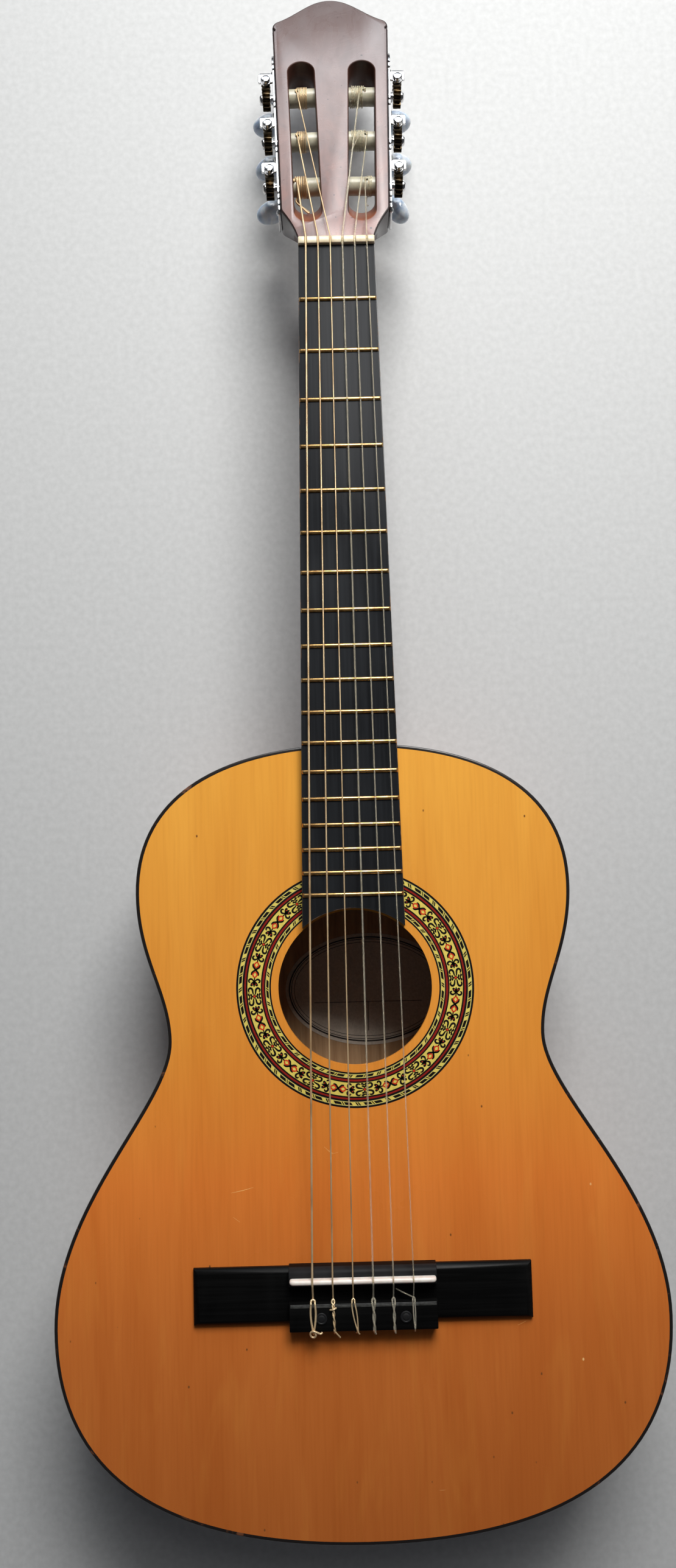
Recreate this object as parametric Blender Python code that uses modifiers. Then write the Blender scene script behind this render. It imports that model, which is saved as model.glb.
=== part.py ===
"""Three-quarter size classical guitar lying on its back.

Frame: +X to the treble side, +Y from the saddle to the headstock, +Z out of the
soundboard. The origin is on the outer face of the back, on the centre line, under the
line where the open strings end at the bridge. Dimensions below are in millimetres and
are turned into metres where a mesh is made.
"""

import math

import bmesh
import bpy
from mathutils import Matrix, Vector

MM = 0.001
GAP = 0.3

# Strings and frets
SCALE_LENGTH = 580.0
FRET_COUNT = 18
STRING_COUNT = 6
NUT_SPAN = 35.4
SADDLE_SPAN = 54.3
STRING_RADII = [0.36, 0.42, 0.51, 0.38, 0.45, 0.56]

# Body
BODY_DEPTH = 88.0
PLATE_THICK = 2.5
SIDE_THICK = 2.0
BINDING_HEIGHT = 6.0
BOARD_INSET = SIDE_THICK + GAP
LINING_WIDTH = 6.0
LINING_LOW = BODY_DEPTH - PLATE_THICK - GAP - 13.0
TAIL_BLOCK_HALF = 34.0
TAIL_BLOCK_DEPTH = 20.0
UPPER_BOUT = Vector((121.8, 208.0))
WAIST = Vector((104.6, 125.8))
LOWER_BOUT = Vector((168.8, -27.6))
BODY_TOP_Y = 290.0
BODY_END_Y = -143.8
CURVE_STEPS = 11

# Soundhole and rosette
HOLE_Y = 153.5
HOLE_RADIUS = 42.8
ROSETTE_INNER = 47.0
ROSETTE_OUTER = 66.3
ROSETTE_THICK = 1.2
LABEL_CENTRE = Vector((9.0, 143.0))
LABEL_HALF = Vector((52.0, 35.0))

# Neck and fingerboard
BOARD_THICK = 7.0
BOARD_TOP = BODY_DEPTH + BOARD_THICK
NUT_HALF = 22.15
BOARD_TAPER = 0.0162
BOARD_END_Y = 187.0
NUT_LENGTH = 4.7
NUT_HEIGHT = 2.4
FRET_CROWN = 1.0
FRET_HALF_WIDTH = 1.3
FRET_TANG_DEPTH = 1.5
NECK_DEPTH_NUT = 14.0
NECK_DEPTH_HEEL = 16.5
HEEL_SLOT_HALF = 12.0
FOOT_HALF = 27.0
FOOT_DEPTH = 26.0
FOOT_SETBACK = 1.6

# Headstock, in its own frame: x across, u along it from the nut, w out of its face
HEAD_TILT = math.radians(13.0)
HEAD_ORIGIN = Vector((0.0, SCALE_LENGTH + GAP + NUT_LENGTH + GAP, BODY_DEPTH + 2.0))
HEAD_THICK = 19.0
HEAD_SHOULDER = Vector((32.3, 23.0))
HEAD_CORNER = Vector((35.6, 169.5))
HEAD_CROWN_U = 188.7
SPLAY = math.radians(1.5)
SLOT_WIDTH = 16.0
SLOT_FROM_SIDE = 16.3
SLOT_START_U = 14.4
SLOT_END_U = 137.3
# The nut end of each slot is a ramp: how far it runs for each unit of depth
SLOT_RAMP = 1.25

# Tuning machines, in the frame of one side of the headstock: a outwards from the side
# face, b towards the tip, c out of the headstock's face
ROLLER_B = [25.5, 60.5, 95.5]
ROLLER_C = -9.3
ROLLER_RADIUS = 5.2
ROLLER_INSIDE = 31.0
JOURNAL_RADIUS = 2.3
STUB_RADIUS = 1.5
GEAR_A = 5.9
GEAR_THICK = 4.8
GEAR_TEETH = 14
GEAR_PITCH_RADIUS = 5.6
GEAR_TIP_RADIUS = 6.2
GEAR_ROOT_RADIUS = 4.6
WORM_OFFSET = 8.0
WORM_CORE = 1.5
WORM_WIRE_RADIUS = 0.8
WORM_WIRE_CENTRE = 2.1
WORM_LEAD = 2.0 * math.pi * GEAR_PITCH_RADIUS / GEAR_TEETH
WORM_HALF_TURNS = 1.5
WORM_END_RADIUS = 2.6
FRONT_LUG_C = -2.0
BACK_LUG_C = -17.0
LUG_THICK = 1.4
BUTTON_C = -35.0
BUTTON_SIZE = Vector((21.0, 11.0, 15.0))
BUTTON_TURNS = [-50.0, 0.0, 5.0, 10.0, 25.0, 20.0]
PLATE_A = 0.3
PLATE_METAL = 1.2
PLATE_LENGTH = 123.0

# Bridge
BRIDGE_HALF = 92.2
BRIDGE_FRONT_Y = 3.8
BRIDGE_BACK_Y = -26.2
WING_HEIGHT = 4.4
BLOCK_HALF = 40.0
BLOCK_FRONT_Y = 4.7
BLOCK_BACK_Y = -28.8
BLOCK_HEIGHT = 9.3
TIE_FRONT_Y = -13.6
CHANNEL_HEIGHT = 3.6
SADDLE_Y = -1.6
SADDLE_HALF = 39.5
SADDLE_THICK = 2.8
SADDLE_TOP = 101.0
CAP_X = 22.75
CAP_Y = -21.4
CAP_RADIUS = 3.1


# ---------------------------------------------------------------- scene and materials

for leftover in list(bpy.data.objects):
    bpy.data.objects.remove(leftover)

PARTS = bpy.data.collections.new("classical_guitar")
CUTTERS = bpy.data.collections.new("cutters")
bpy.context.scene.collection.children.link(PARTS)
bpy.context.scene.collection.children.link(CUTTERS)

FINISHES = {
    "spruce": ((0.62, 0.33, 0.10), 0.25, 0.0),
    "inlay": ((0.62, 0.52, 0.16), 0.4, 0.0),
    "mahogany": ((0.30, 0.12, 0.06), 0.3, 0.0),
    "binding": ((0.03, 0.02, 0.02), 0.35, 0.0),
    "raw_wood": ((0.60, 0.45, 0.28), 0.7, 0.0),
    "neck_wood": ((0.36, 0.20, 0.16), 0.25, 0.0),
    "ebonised": ((0.03, 0.03, 0.03), 0.5, 0.0),
    "fret_metal": ((0.75, 0.60, 0.30), 0.25, 1.0),
    "bone": ((0.85, 0.78, 0.62), 0.4, 0.0),
    "wound_string": ((0.60, 0.52, 0.40), 0.3, 1.0),
    "nylon": ((0.80, 0.80, 0.74), 0.3, 0.0),
    "chrome": ((0.80, 0.80, 0.82), 0.12, 1.0),
    "gear_brass": ((0.35, 0.28, 0.14), 0.4, 1.0),
    "worm_steel": ((0.55, 0.60, 0.66), 0.3, 0.6),
    "roller_plastic": ((0.78, 0.76, 0.68), 0.4, 0.0),
    "paper": ((0.42, 0.36, 0.26), 0.9, 0.0),
}


def make_material(name, finish):
    colour, roughness, metallic = FINISHES[finish]
    material = bpy.data.materials.new(name)
    material.use_nodes = True
    shader = material.node_tree.nodes["Principled BSDF"]
    shader.inputs["Base Color"].default_value = (*colour, 1.0)
    shader.inputs["Roughness"].default_value = roughness
    shader.inputs["Metallic"].default_value = metallic
    return material


def link_part(obj, finish, smooth_angle=None):
    """Put an object among the parts, with a material of its own."""
    for user in list(obj.users_collection):
        user.objects.unlink(obj)
    PARTS.objects.link(obj)
    obj.data.materials.clear()
    obj.data.materials.append(make_material(obj.name, finish))
    if smooth_angle:
        obj.data.shade_smooth()
        obj.data.set_sharp_from_angle(angle=math.radians(smooth_angle))
    return obj


def link_cutter(obj):
    """Put an object among the cutters, hidden from renders."""
    for user in list(obj.users_collection):
        user.objects.unlink(obj)
    CUTTERS.objects.link(obj)
    obj.hide_render = True
    obj.display_type = "WIRE"
    return obj


# ---------------------------------------------------------------------- mesh helpers

def object_from_bmesh(name, mesh_data):
    """Turn a bmesh in millimetres into a linked object in metres."""
    bmesh.ops.scale(mesh_data, vec=(MM, MM, MM), verts=mesh_data.verts)
    bmesh.ops.recalc_face_normals(mesh_data, faces=mesh_data.faces)
    mesh = bpy.data.meshes.new(name)
    mesh_data.to_mesh(mesh)
    mesh_data.free()
    obj = bpy.data.objects.new(name, mesh)
    bpy.context.scene.collection.objects.link(obj)
    return obj


def mesh_from_curve(name, curve):
    """Make a closed mesh object of a curve's evaluated shape, and drop the curve."""
    guide = bpy.data.objects.new(name + "_curve", curve)
    bpy.context.scene.collection.objects.link(guide)
    graph = bpy.context.evaluated_depsgraph_get()
    mesh = bpy.data.meshes.new_from_object(guide.evaluated_get(graph))
    work = bmesh.new()
    work.from_mesh(mesh)
    bmesh.ops.remove_doubles(work, verts=work.verts, dist=1e-6)
    bmesh.ops.dissolve_degenerate(work, dist=1e-7, edges=work.edges)
    bmesh.ops.recalc_face_normals(work, faces=work.faces)
    work.to_mesh(mesh)
    work.free()
    obj = bpy.data.objects.new(name, mesh)
    obj.matrix_world = guide.matrix_world
    bpy.context.scene.collection.objects.link(obj)
    bpy.data.objects.remove(guide)
    return obj


def add_spline(curve, points, cyclic):
    spline = curve.splines.new("POLY")
    spline.points.add(len(points) - 1)
    for target, point in zip(spline.points, points):
        target.co = (*(MM * Vector(point).to_3d()), 1.0)
    spline.use_cyclic_u = cyclic


def flat_plate(name, outlines, low, high):
    """A plate between two heights: the first outline is its edge, the rest are holes."""
    curve = bpy.data.curves.new(name, "CURVE")
    curve.dimensions = "2D"
    curve.fill_mode = "BOTH"
    curve.extrude = 0.5 * (high - low) * MM
    for outline in outlines:
        add_spline(curve, outline, True)
    obj = mesh_from_curve(name, curve)
    obj.data.transform(Matrix.Translation((0.0, 0.0, 0.5 * (low + high) * MM)))
    return obj


def tube(name, points, radius, resolution):
    """A round bar along a line of points, with closed ends."""
    curve = bpy.data.curves.new(name, "CURVE")
    curve.dimensions = "3D"
    curve.bevel_depth = radius * MM
    curve.bevel_resolution = resolution
    curve.use_fill_caps = True
    add_spline(curve, points, False)
    return mesh_from_curve(name, curve)


def loft(name, rings):
    """A closed solid through rings of equally many points."""
    work = bmesh.new()
    rows = [[work.verts.new(point) for point in ring] for ring in rings]
    count = len(rows[0])
    for row, following in zip(rows, rows[1:]):
        for index in range(count):
            after = (index + 1) % count
            work.faces.new((row[index], row[after], following[after], following[index]))
    work.faces.new(rows[0])
    work.faces.new(rows[-1])
    return object_from_bmesh(name, work)


def box(name, low, high):
    """A box between two corners."""
    low, high = Vector(low), Vector(high)
    work = bmesh.new()
    bmesh.ops.create_cube(work, size=1.0)
    bmesh.ops.scale(work, vec=high - low, verts=work.verts)
    bmesh.ops.translate(work, vec=0.5 * (low + high), verts=work.verts)
    return object_from_bmesh(name, work)


def round_bar(name, radius, start, end, sides=20):
    """A cylinder from one point to another."""
    start, end = Vector(start), Vector(end)
    along = end - start
    work = bmesh.new()
    bmesh.ops.create_cone(work, cap_ends=True, segments=sides, radius1=radius,
                          radius2=radius, depth=along.length)
    turn = along.to_track_quat("Z", "Y").to_matrix().to_4x4()
    bmesh.ops.transform(work, matrix=Matrix.Translation(0.5 * (start + end)) @ turn,
                        verts=work.verts)
    return object_from_bmesh(name, work)


def turned(name, profile, sign=1.0, sides=14):
    """A solid turned about the local X axis: profile holds (x, radius) from the outer end
    inwards, and sign says whether outwards is +X or -X."""
    work = bmesh.new()
    verts = [work.verts.new((sign * x, 0.0, radius)) for x, radius in profile]
    for first, second in zip(verts, verts[1:]):
        work.edges.new((first, second))
    bmesh.ops.scale(work, vec=(MM, MM, MM), verts=work.verts)
    mesh = bpy.data.meshes.new(name)
    work.to_mesh(mesh)
    work.free()
    obj = bpy.data.objects.new(name, mesh)
    bpy.context.scene.collection.objects.link(obj)
    screw = obj.modifiers.new("turn", "SCREW")
    screw.axis = "X"
    screw.steps = sides
    screw.render_steps = sides
    screw.use_normal_flip = sign < 0.0
    screw.use_merge_vertices = True
    screw.merge_threshold = 1e-6
    return obj


def boolean(obj, other, operation):
    """Add a Boolean with another object, which becomes a hidden cutter."""
    if other.name not in CUTTERS.objects:
        link_cutter(other)
    modifier = obj.modifiers.new(operation.lower(), "BOOLEAN")
    modifier.operation = operation
    modifier.object = other
    modifier.solver = "EXACT"
    return obj


def settled(obj):
    """The mesh that an object's modifiers make; the object itself becomes a guide."""
    graph = bpy.context.evaluated_depsgraph_get()
    mesh = bpy.data.meshes.new_from_object(obj.evaluated_get(graph))
    link_cutter(obj)
    return mesh


def bevel(obj, width, segments=1, angle=40.0):
    modifier = obj.modifiers.new("bevel", "BEVEL")
    modifier.width = width * MM
    modifier.segments = segments
    modifier.limit_method = "ANGLE"
    modifier.angle_limit = math.radians(angle)
    return modifier


# ------------------------------------------------------------------ shared outlines

def bezier(start, handle_a, handle_b, end, steps):
    """Points of a cubic curve, without its last point."""
    points = []
    for step in range(steps):
        t = step / steps
        s = 1.0 - t
        points.append(s ** 3 * start + 3 * s * s * t * handle_a
                      + 3 * s * t * t * handle_b + t ** 3 * end)
    return points


def guitar_half_outline():
    """The treble half of the body's edge, from the neck end to the tail end."""
    top = Vector((0.0, BODY_TOP_Y))
    tail = Vector((0.0, BODY_END_Y))
    arcs = [
        (top, top + Vector((70.8, 0)), UPPER_BOUT + Vector((0, 57.4)), UPPER_BOUT),
        (UPPER_BOUT, UPPER_BOUT - Vector((0, 36.2)), WAIST + Vector((0, 26.8)), WAIST),
        (WAIST, WAIST - Vector((0, 34.1)), LOWER_BOUT + Vector((0, 67.4)), LOWER_BOUT),
        (LOWER_BOUT, LOWER_BOUT - Vector((0, 78.6)), tail + Vector((109.1, 0)), tail),
    ]
    points = []
    for arc in arcs:
        points.extend(bezier(*arc, CURVE_STEPS))
    return points + [tail]


def mirrored(half):
    """A closed outline from its +X half, which starts and ends on the centre line."""
    other = [Vector((-point.x, point.y)) for point in reversed(half[1:-1])]
    return half + other


def inset(outline, distance):
    """Move a clockwise closed outline inwards by a distance."""
    moved = []
    count = len(outline)
    for index, point in enumerate(outline):
        along = outline[(index + 1) % count] - outline[index - 1]
        inward = Vector((along.y, -along.x)).normalized()
        moved.append(point + distance * inward)
    return moved


def circle(centre_x, centre_y, radius, steps):
    points = []
    for step in range(steps):
        angle = 2.0 * math.pi * step / steps
        points.append(Vector((centre_x + radius * math.cos(angle),
                              centre_y + radius * math.sin(angle))))
    return points


BODY_OUTLINE = mirrored(guitar_half_outline())
HOLE_STEPS = 48


def fret_y(number):
    return SCALE_LENGTH * 2.0 ** (-number / 12.0)


def board_half(y):
    """Half the width of the fingerboard at a distance from the saddle line."""
    return NUT_HALF + (SCALE_LENGTH - y) * BOARD_TAPER


def string_fraction(number):
    """Place of a string across the neck: -1 for the lowest, +1 for the highest."""
    middle = 0.5 * (STRING_COUNT + 1)
    return (middle - number) / (middle - 1.0)


# ---------------------------------------------------------------------- the soundbox

def build_soundbox():
    ring_outer = circle(0.0, HOLE_Y, ROSETTE_OUTER, HOLE_STEPS)
    ring_inner = circle(0.0, HOLE_Y, ROSETTE_INNER, HOLE_STEPS)
    hole = circle(0.0, HOLE_Y, HOLE_RADIUS, HOLE_STEPS)

    soundboard = flat_plate("soundboard", [inset(BODY_OUTLINE, BOARD_INSET), hole],
                            BODY_DEPTH - PLATE_THICK, BODY_DEPTH)
    groove_outer = circle(0.0, HOLE_Y, ROSETTE_OUTER + GAP, HOLE_STEPS)
    groove_inner = circle(0.0, HOLE_Y, ROSETTE_INNER - GAP, HOLE_STEPS)
    groove = flat_plate("rosette_groove", [groove_outer, groove_inner],
                        BODY_DEPTH - ROSETTE_THICK - GAP, BODY_DEPTH + 1.0)
    boolean(soundboard, groove, "DIFFERENCE")
    link_part(soundboard, "spruce")
    rosette = flat_plate("rosette_ring", [ring_outer, ring_inner],
                         BODY_DEPTH - ROSETTE_THICK, BODY_DEPTH)
    link_part(rosette, "inlay")

    link_part(flat_plate("back_plate", [BODY_OUTLINE], 0.0, PLATE_THICK), "mahogany")
    label = []
    for point in circle(0.0, 0.0, 1.0, 40):
        label.append(LABEL_CENTRE + Vector((LABEL_HALF.x * point.x, LABEL_HALF.y * point.y)))
    label_low = PLATE_THICK + GAP
    link_part(flat_plate("paper_label", [label], label_low, label_low + 0.3), "paper")

    edging = flat_plate("top_binding", [BODY_OUTLINE, inset(BODY_OUTLINE, SIDE_THICK)],
                        BODY_DEPTH - BINDING_HEIGHT, BODY_DEPTH)
    link_part(edging, "binding")

    half = len(BODY_OUTLINE) // 2
    inner = inset(BODY_OUTLINE, SIDE_THICK)
    side_low = PLATE_THICK + GAP
    side_high = BODY_DEPTH - BINDING_HEIGHT - GAP
    end_gap = 0.5 * GAP
    for name, sign in (("treble_side", 1.0), ("bass_side", -1.0)):
        band = BODY_OUTLINE[1:half] + list(reversed(inner[1:half]))
        head_end = Vector((HEEL_SLOT_HALF, BODY_TOP_Y - 0.2))
        head_inner = Vector((HEEL_SLOT_HALF, BODY_TOP_Y - 0.2 - SIDE_THICK))
        tail_outer = Vector((end_gap, BODY_END_Y))
        tail_inner = Vector((end_gap, BODY_END_Y + SIDE_THICK))
        count = half - 1
        ring = [head_end] + band[:count] + [tail_outer, tail_inner] + band[count:]
        ring.append(head_inner)
        ring = [Vector((sign * point.x, point.y)) for point in ring]
        link_part(flat_plate(name, [ring], side_low, side_high), "mahogany")

    lining_high = BODY_DEPTH - PLATE_THICK - GAP
    lining = flat_plate("top_lining", lining_rings(0.0), LINING_LOW, lining_high)
    link_part(lining, "raw_wood")

    block = []
    for point in inset(BODY_OUTLINE, BOARD_INSET):
        if abs(point.x) < TAIL_BLOCK_HALF and point.y < 0.0:
            block.append(point)
    inner_y = BODY_END_Y + TAIL_BLOCK_DEPTH
    block += [Vector((-TAIL_BLOCK_HALF, inner_y)), Vector((TAIL_BLOCK_HALF, inner_y))]
    tail = flat_plate("tail_block", [block], side_low, lining_high)
    boolean(tail, lining_room("tail_lining_room"), "DIFFERENCE")
    link_part(tail, "raw_wood")


def lining_rings(clearance):
    outer = inset(BODY_OUTLINE, BOARD_INSET - clearance)
    inner = inset(BODY_OUTLINE, BOARD_INSET + LINING_WIDTH + clearance)
    return [outer, inner]


def lining_room(name):
    """The room that the lining needs where it passes a block."""
    return flat_plate(name, lining_rings(GAP), LINING_LOW - GAP, BODY_DEPTH + 5.0)


# -------------------------------------------------------------------------- the neck

def neck_ring(y):
    """The neck's section at y: a flat top and a rounded back."""
    share = (SCALE_LENGTH - y) / (SCALE_LENGTH - BODY_TOP_Y)
    half = board_half(y) - 0.2
    depth = NECK_DEPTH_NUT + share * (NECK_DEPTH_HEEL - NECK_DEPTH_NUT)
    points = []
    steps = 14
    for step in range(steps + 1):
        angle = math.pi * step / steps
        x = half * math.copysign(abs(math.cos(angle)) ** 0.85, math.cos(angle))
        drop = depth * math.sin(angle) ** 0.9
        points.append(Vector((x, y, BODY_DEPTH - drop)))
    return points


def heel_ring(z):
    """The heel's section at a height: flat against the sides, pointed to the nut."""
    share = z / (BODY_DEPTH - 10.0)
    half = 11.0 + 15.0 * share ** 0.8
    reach = 14.0 + 46.0 * share ** 2.4
    root = BODY_TOP_Y + GAP
    points = []
    steps = 12
    for step in range(steps + 1):
        angle = math.pi * step / steps
        points.append(Vector((half * math.cos(angle), root + reach * math.sin(angle) ** 0.9, z)))
    return points


def head_front_half():
    """Half the headstock's face, from the nut to the crown."""
    ear = bezier(Vector((22.2, 0.0)), Vector((23.6, 8.0)), Vector((26.5, 14.0)),
                 HEAD_SHOULDER, 6)
    return [Vector((0.0, 0.0)), Vector((14.0, 0.0))] + ear + head_tip_half()


def head_back_half():
    """Half the headstock's back, whose ears reach in lower and further from the nut."""
    ear = bezier(Vector((19.0, 12.5)), Vector((23.5, 16.4)), Vector((29.0, 19.0)),
                 HEAD_SHOULDER, 6)
    return [Vector((0.0, 4.0)), Vector((14.0, 6.0))] + ear + head_tip_half()


def head_tip_half():
    """The side, the small notch under the corner, and the crown."""
    notch = HEAD_CORNER + Vector((0.6, -6.0))
    corner = bezier(HEAD_CORNER + Vector((0.6, -3.2)), HEAD_CORNER + Vector((0.6, -1.0)),
                    HEAD_CORNER + Vector((0.0, 0.5)), HEAD_CORNER + Vector((-2.2, 1.9)), 3)
    crown_top = Vector((0.0, HEAD_CROWN_U))
    crown = bezier(HEAD_CORNER + Vector((-2.2, 1.9)), Vector((20.5, 177.0)),
                   Vector((13.0, HEAD_CROWN_U)), crown_top, 9)
    sides = [HEAD_SHOULDER, notch, notch + Vector((-1.5, 1.3))]
    return sides + corner + crown + [crown_top]


HEAD = (Matrix.Translation(HEAD_ORIGIN * MM) @ Matrix.Rotation(-HEAD_TILT, 4, "X"))


def side_frame(sign):
    """The frame of one side of the headstock; its X axis is +X turned by the splay."""
    corner = Matrix.Translation((sign * HEAD_SHOULDER.x * MM, HEAD_SHOULDER.y * MM, 0.0))
    return HEAD @ corner @ Matrix.Rotation(-sign * SPLAY, 4, "Z")


def slot_outline(width):
    """A long slot with round ends, along the local Y axis from y = 0."""
    radius = 0.5 * width
    length = SLOT_END_U - SLOT_START_U
    points = []
    for centre, start in ((length - radius, 0.0), (radius, math.pi)):
        for step in range(9):
            angle = start + math.pi * step / 8
            points.append(Vector((radius * math.cos(angle), centre + radius * math.sin(angle))))
    return points


def build_neck():
    stations = [BODY_TOP_Y + GAP, 360.0, 440.0, 520.0, SCALE_LENGTH - 12.0,
                HEAD_ORIGIN.y + 4.0]
    neck = loft("neck", [neck_ring(y) for y in stations])

    heights = [PLATE_THICK + GAP, 15.0, 30.0, 45.0, 58.0, 68.0, BODY_DEPTH - 12.0]
    boolean(neck, loft("neck_heel", [heel_ring(z) for z in heights]), "UNION")

    side_low = PLATE_THICK + GAP
    web_half = HEEL_SLOT_HALF - GAP
    side_high = BODY_DEPTH - BINDING_HEIGHT
    web = box("neck_web", (-web_half, BODY_TOP_Y - 5.0, side_low),
              (web_half, BODY_TOP_Y + 4.0, side_high - GAP))
    boolean(neck, web, "UNION")
    foot_y = BODY_TOP_Y - SIDE_THICK - FOOT_SETBACK
    foot = box("neck_foot", (-FOOT_HALF, foot_y - FOOT_DEPTH, side_low),
               (FOOT_HALF, foot_y, BODY_DEPTH - PLATE_THICK - GAP))
    boolean(neck, foot, "UNION")

    front = [Vector((p.x, p.y, 0.0)) for p in mirrored(head_front_half())]
    back = [Vector((p.x, p.y, -HEAD_THICK)) for p in mirrored(head_back_half())]
    head = loft("neck_headstock", [front, back])
    head.data.transform(HEAD)
    boolean(neck, head, "UNION")

    for name, sign in (("treble", 1.0), ("bass", -1.0)):
        frame = side_frame(sign)
        rings = []
        for height, ramp in ((20.0, 0.0), (0.0, 0.0), (-40.0, 40.0 * SLOT_RAMP)):
            ring = []
            for point in slot_outline(SLOT_WIDTH):
                shift = ramp if point.y < 0.6 * SLOT_WIDTH else 0.0
                ring.append(Vector((point.x, point.y + shift, height)))
            rings.append(ring)
        slot = loft(name + "_slot", rings)
        slot.data.transform(Matrix.Translation((-sign * SLOT_FROM_SIDE * MM,
                                                (SLOT_START_U - HEAD_SHOULDER.y) * MM, 0.0)))
        slot.data.transform(frame)
        boolean(neck, slot, "DIFFERENCE")
        for index, along in enumerate(ROLLER_B):
            bore = round_bar("%s_bore_%d" % (name, index + 1), ROLLER_RADIUS + GAP,
                             (sign * 4.0, along, ROLLER_C),
                             (-sign * (ROLLER_INSIDE + GAP), along, ROLLER_C))
            bore.data.transform(frame)
            boolean(neck, bore, "DIFFERENCE")
    boolean(neck, lining_room("neck_lining_room"), "DIFFERENCE")
    link_part(neck, "neck_wood", 35)


def build_fingerboard():
    nut_end = SCALE_LENGTH
    end_half = board_half(BOARD_END_Y)
    outline = [Vector((-board_half(nut_end), nut_end)), Vector((board_half(nut_end), nut_end)),
               Vector((end_half, BOARD_END_Y))]
    arc_radius = math.hypot(end_half, HOLE_Y - BOARD_END_Y)
    swing = math.asin(end_half / arc_radius)
    steps = 12
    for step in range(1, steps):
        angle = swing - 2.0 * swing * step / steps
        outline.append(Vector((arc_radius * math.sin(angle),
                               HOLE_Y + arc_radius * math.cos(angle))))
    outline.append(Vector((-end_half, BOARD_END_Y)))
    board = flat_plate("fingerboard", [outline], BODY_DEPTH + GAP, BOARD_TOP)

    cuts = bmesh.new()
    for number in range(1, FRET_COUNT + 1):
        made = bmesh.ops.create_cube(cuts, size=1.0)
        bmesh.ops.scale(cuts, vec=(80.0, 0.6 + 2 * GAP, 4.0), verts=made["verts"])
        low = BOARD_TOP - FRET_TANG_DEPTH - GAP
        bmesh.ops.translate(cuts, vec=(0.0, fret_y(number), low + 2.0), verts=made["verts"])
    boolean(board, object_from_bmesh("fret_slots", cuts), "DIFFERENCE")
    link_part(board, "ebonised")


def build_frets():
    """Eighteen T-section wires with bevelled ends, each in its own slot."""
    half = FRET_HALF_WIDTH
    base = 0.05
    crown = FRET_CROWN
    profile = [(half, base), (0.8 * half, 0.62 * crown), (0.4 * half, 0.93 * crown),
               (-0.4 * half, 0.93 * crown), (-0.8 * half, 0.62 * crown), (-half, base),
               (-0.3, base), (-0.3, -FRET_TANG_DEPTH), (0.3, -FRET_TANG_DEPTH), (0.3, base)]
    for number in range(1, FRET_COUNT + 1):
        y = fret_y(number)
        reach = board_half(y) - 0.6
        rings = []
        for sign in (-1.0, 1.0):
            ring = []
            for offset, height in profile:
                bevel_in = 0.7 * max(height - base, 0.0)
                ring.append(Vector((sign * (reach - bevel_in), y + offset,
                                    BOARD_TOP + GAP + height)))
            rings.append(ring)
        link_part(loft("fret_%02d" % number, rings), "fret_metal")


def build_nut():
    """The nut, with one notch for each string."""
    floor_z = BODY_DEPTH + GAP
    top_z = BOARD_TOP + NUT_HEIGHT
    half = NUT_HALF
    edge = [(-half, floor_z), (-half, top_z - 0.6), (-half + 0.6, top_z)]
    for number in range(STRING_COUNT, 0, -1):
        centre = 0.5 * NUT_SPAN * string_fraction(number)
        room = STRING_RADII[number - 1] + GAP
        depth = top_z - 2.0 * room
        edge += [(centre - room, top_z), (centre - room, depth),
                 (centre + room, depth), (centre + room, top_z)]
    edge += [(half - 0.6, top_z), (half, top_z - 0.6), (half, floor_z)]
    start = SCALE_LENGTH + GAP
    rings = [[Vector((x, y, z)) for x, z in edge] for y in (start, start + NUT_LENGTH)]
    link_part(loft("nut", rings), "bone")


# ------------------------------------------------------------------------ the bridge

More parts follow.
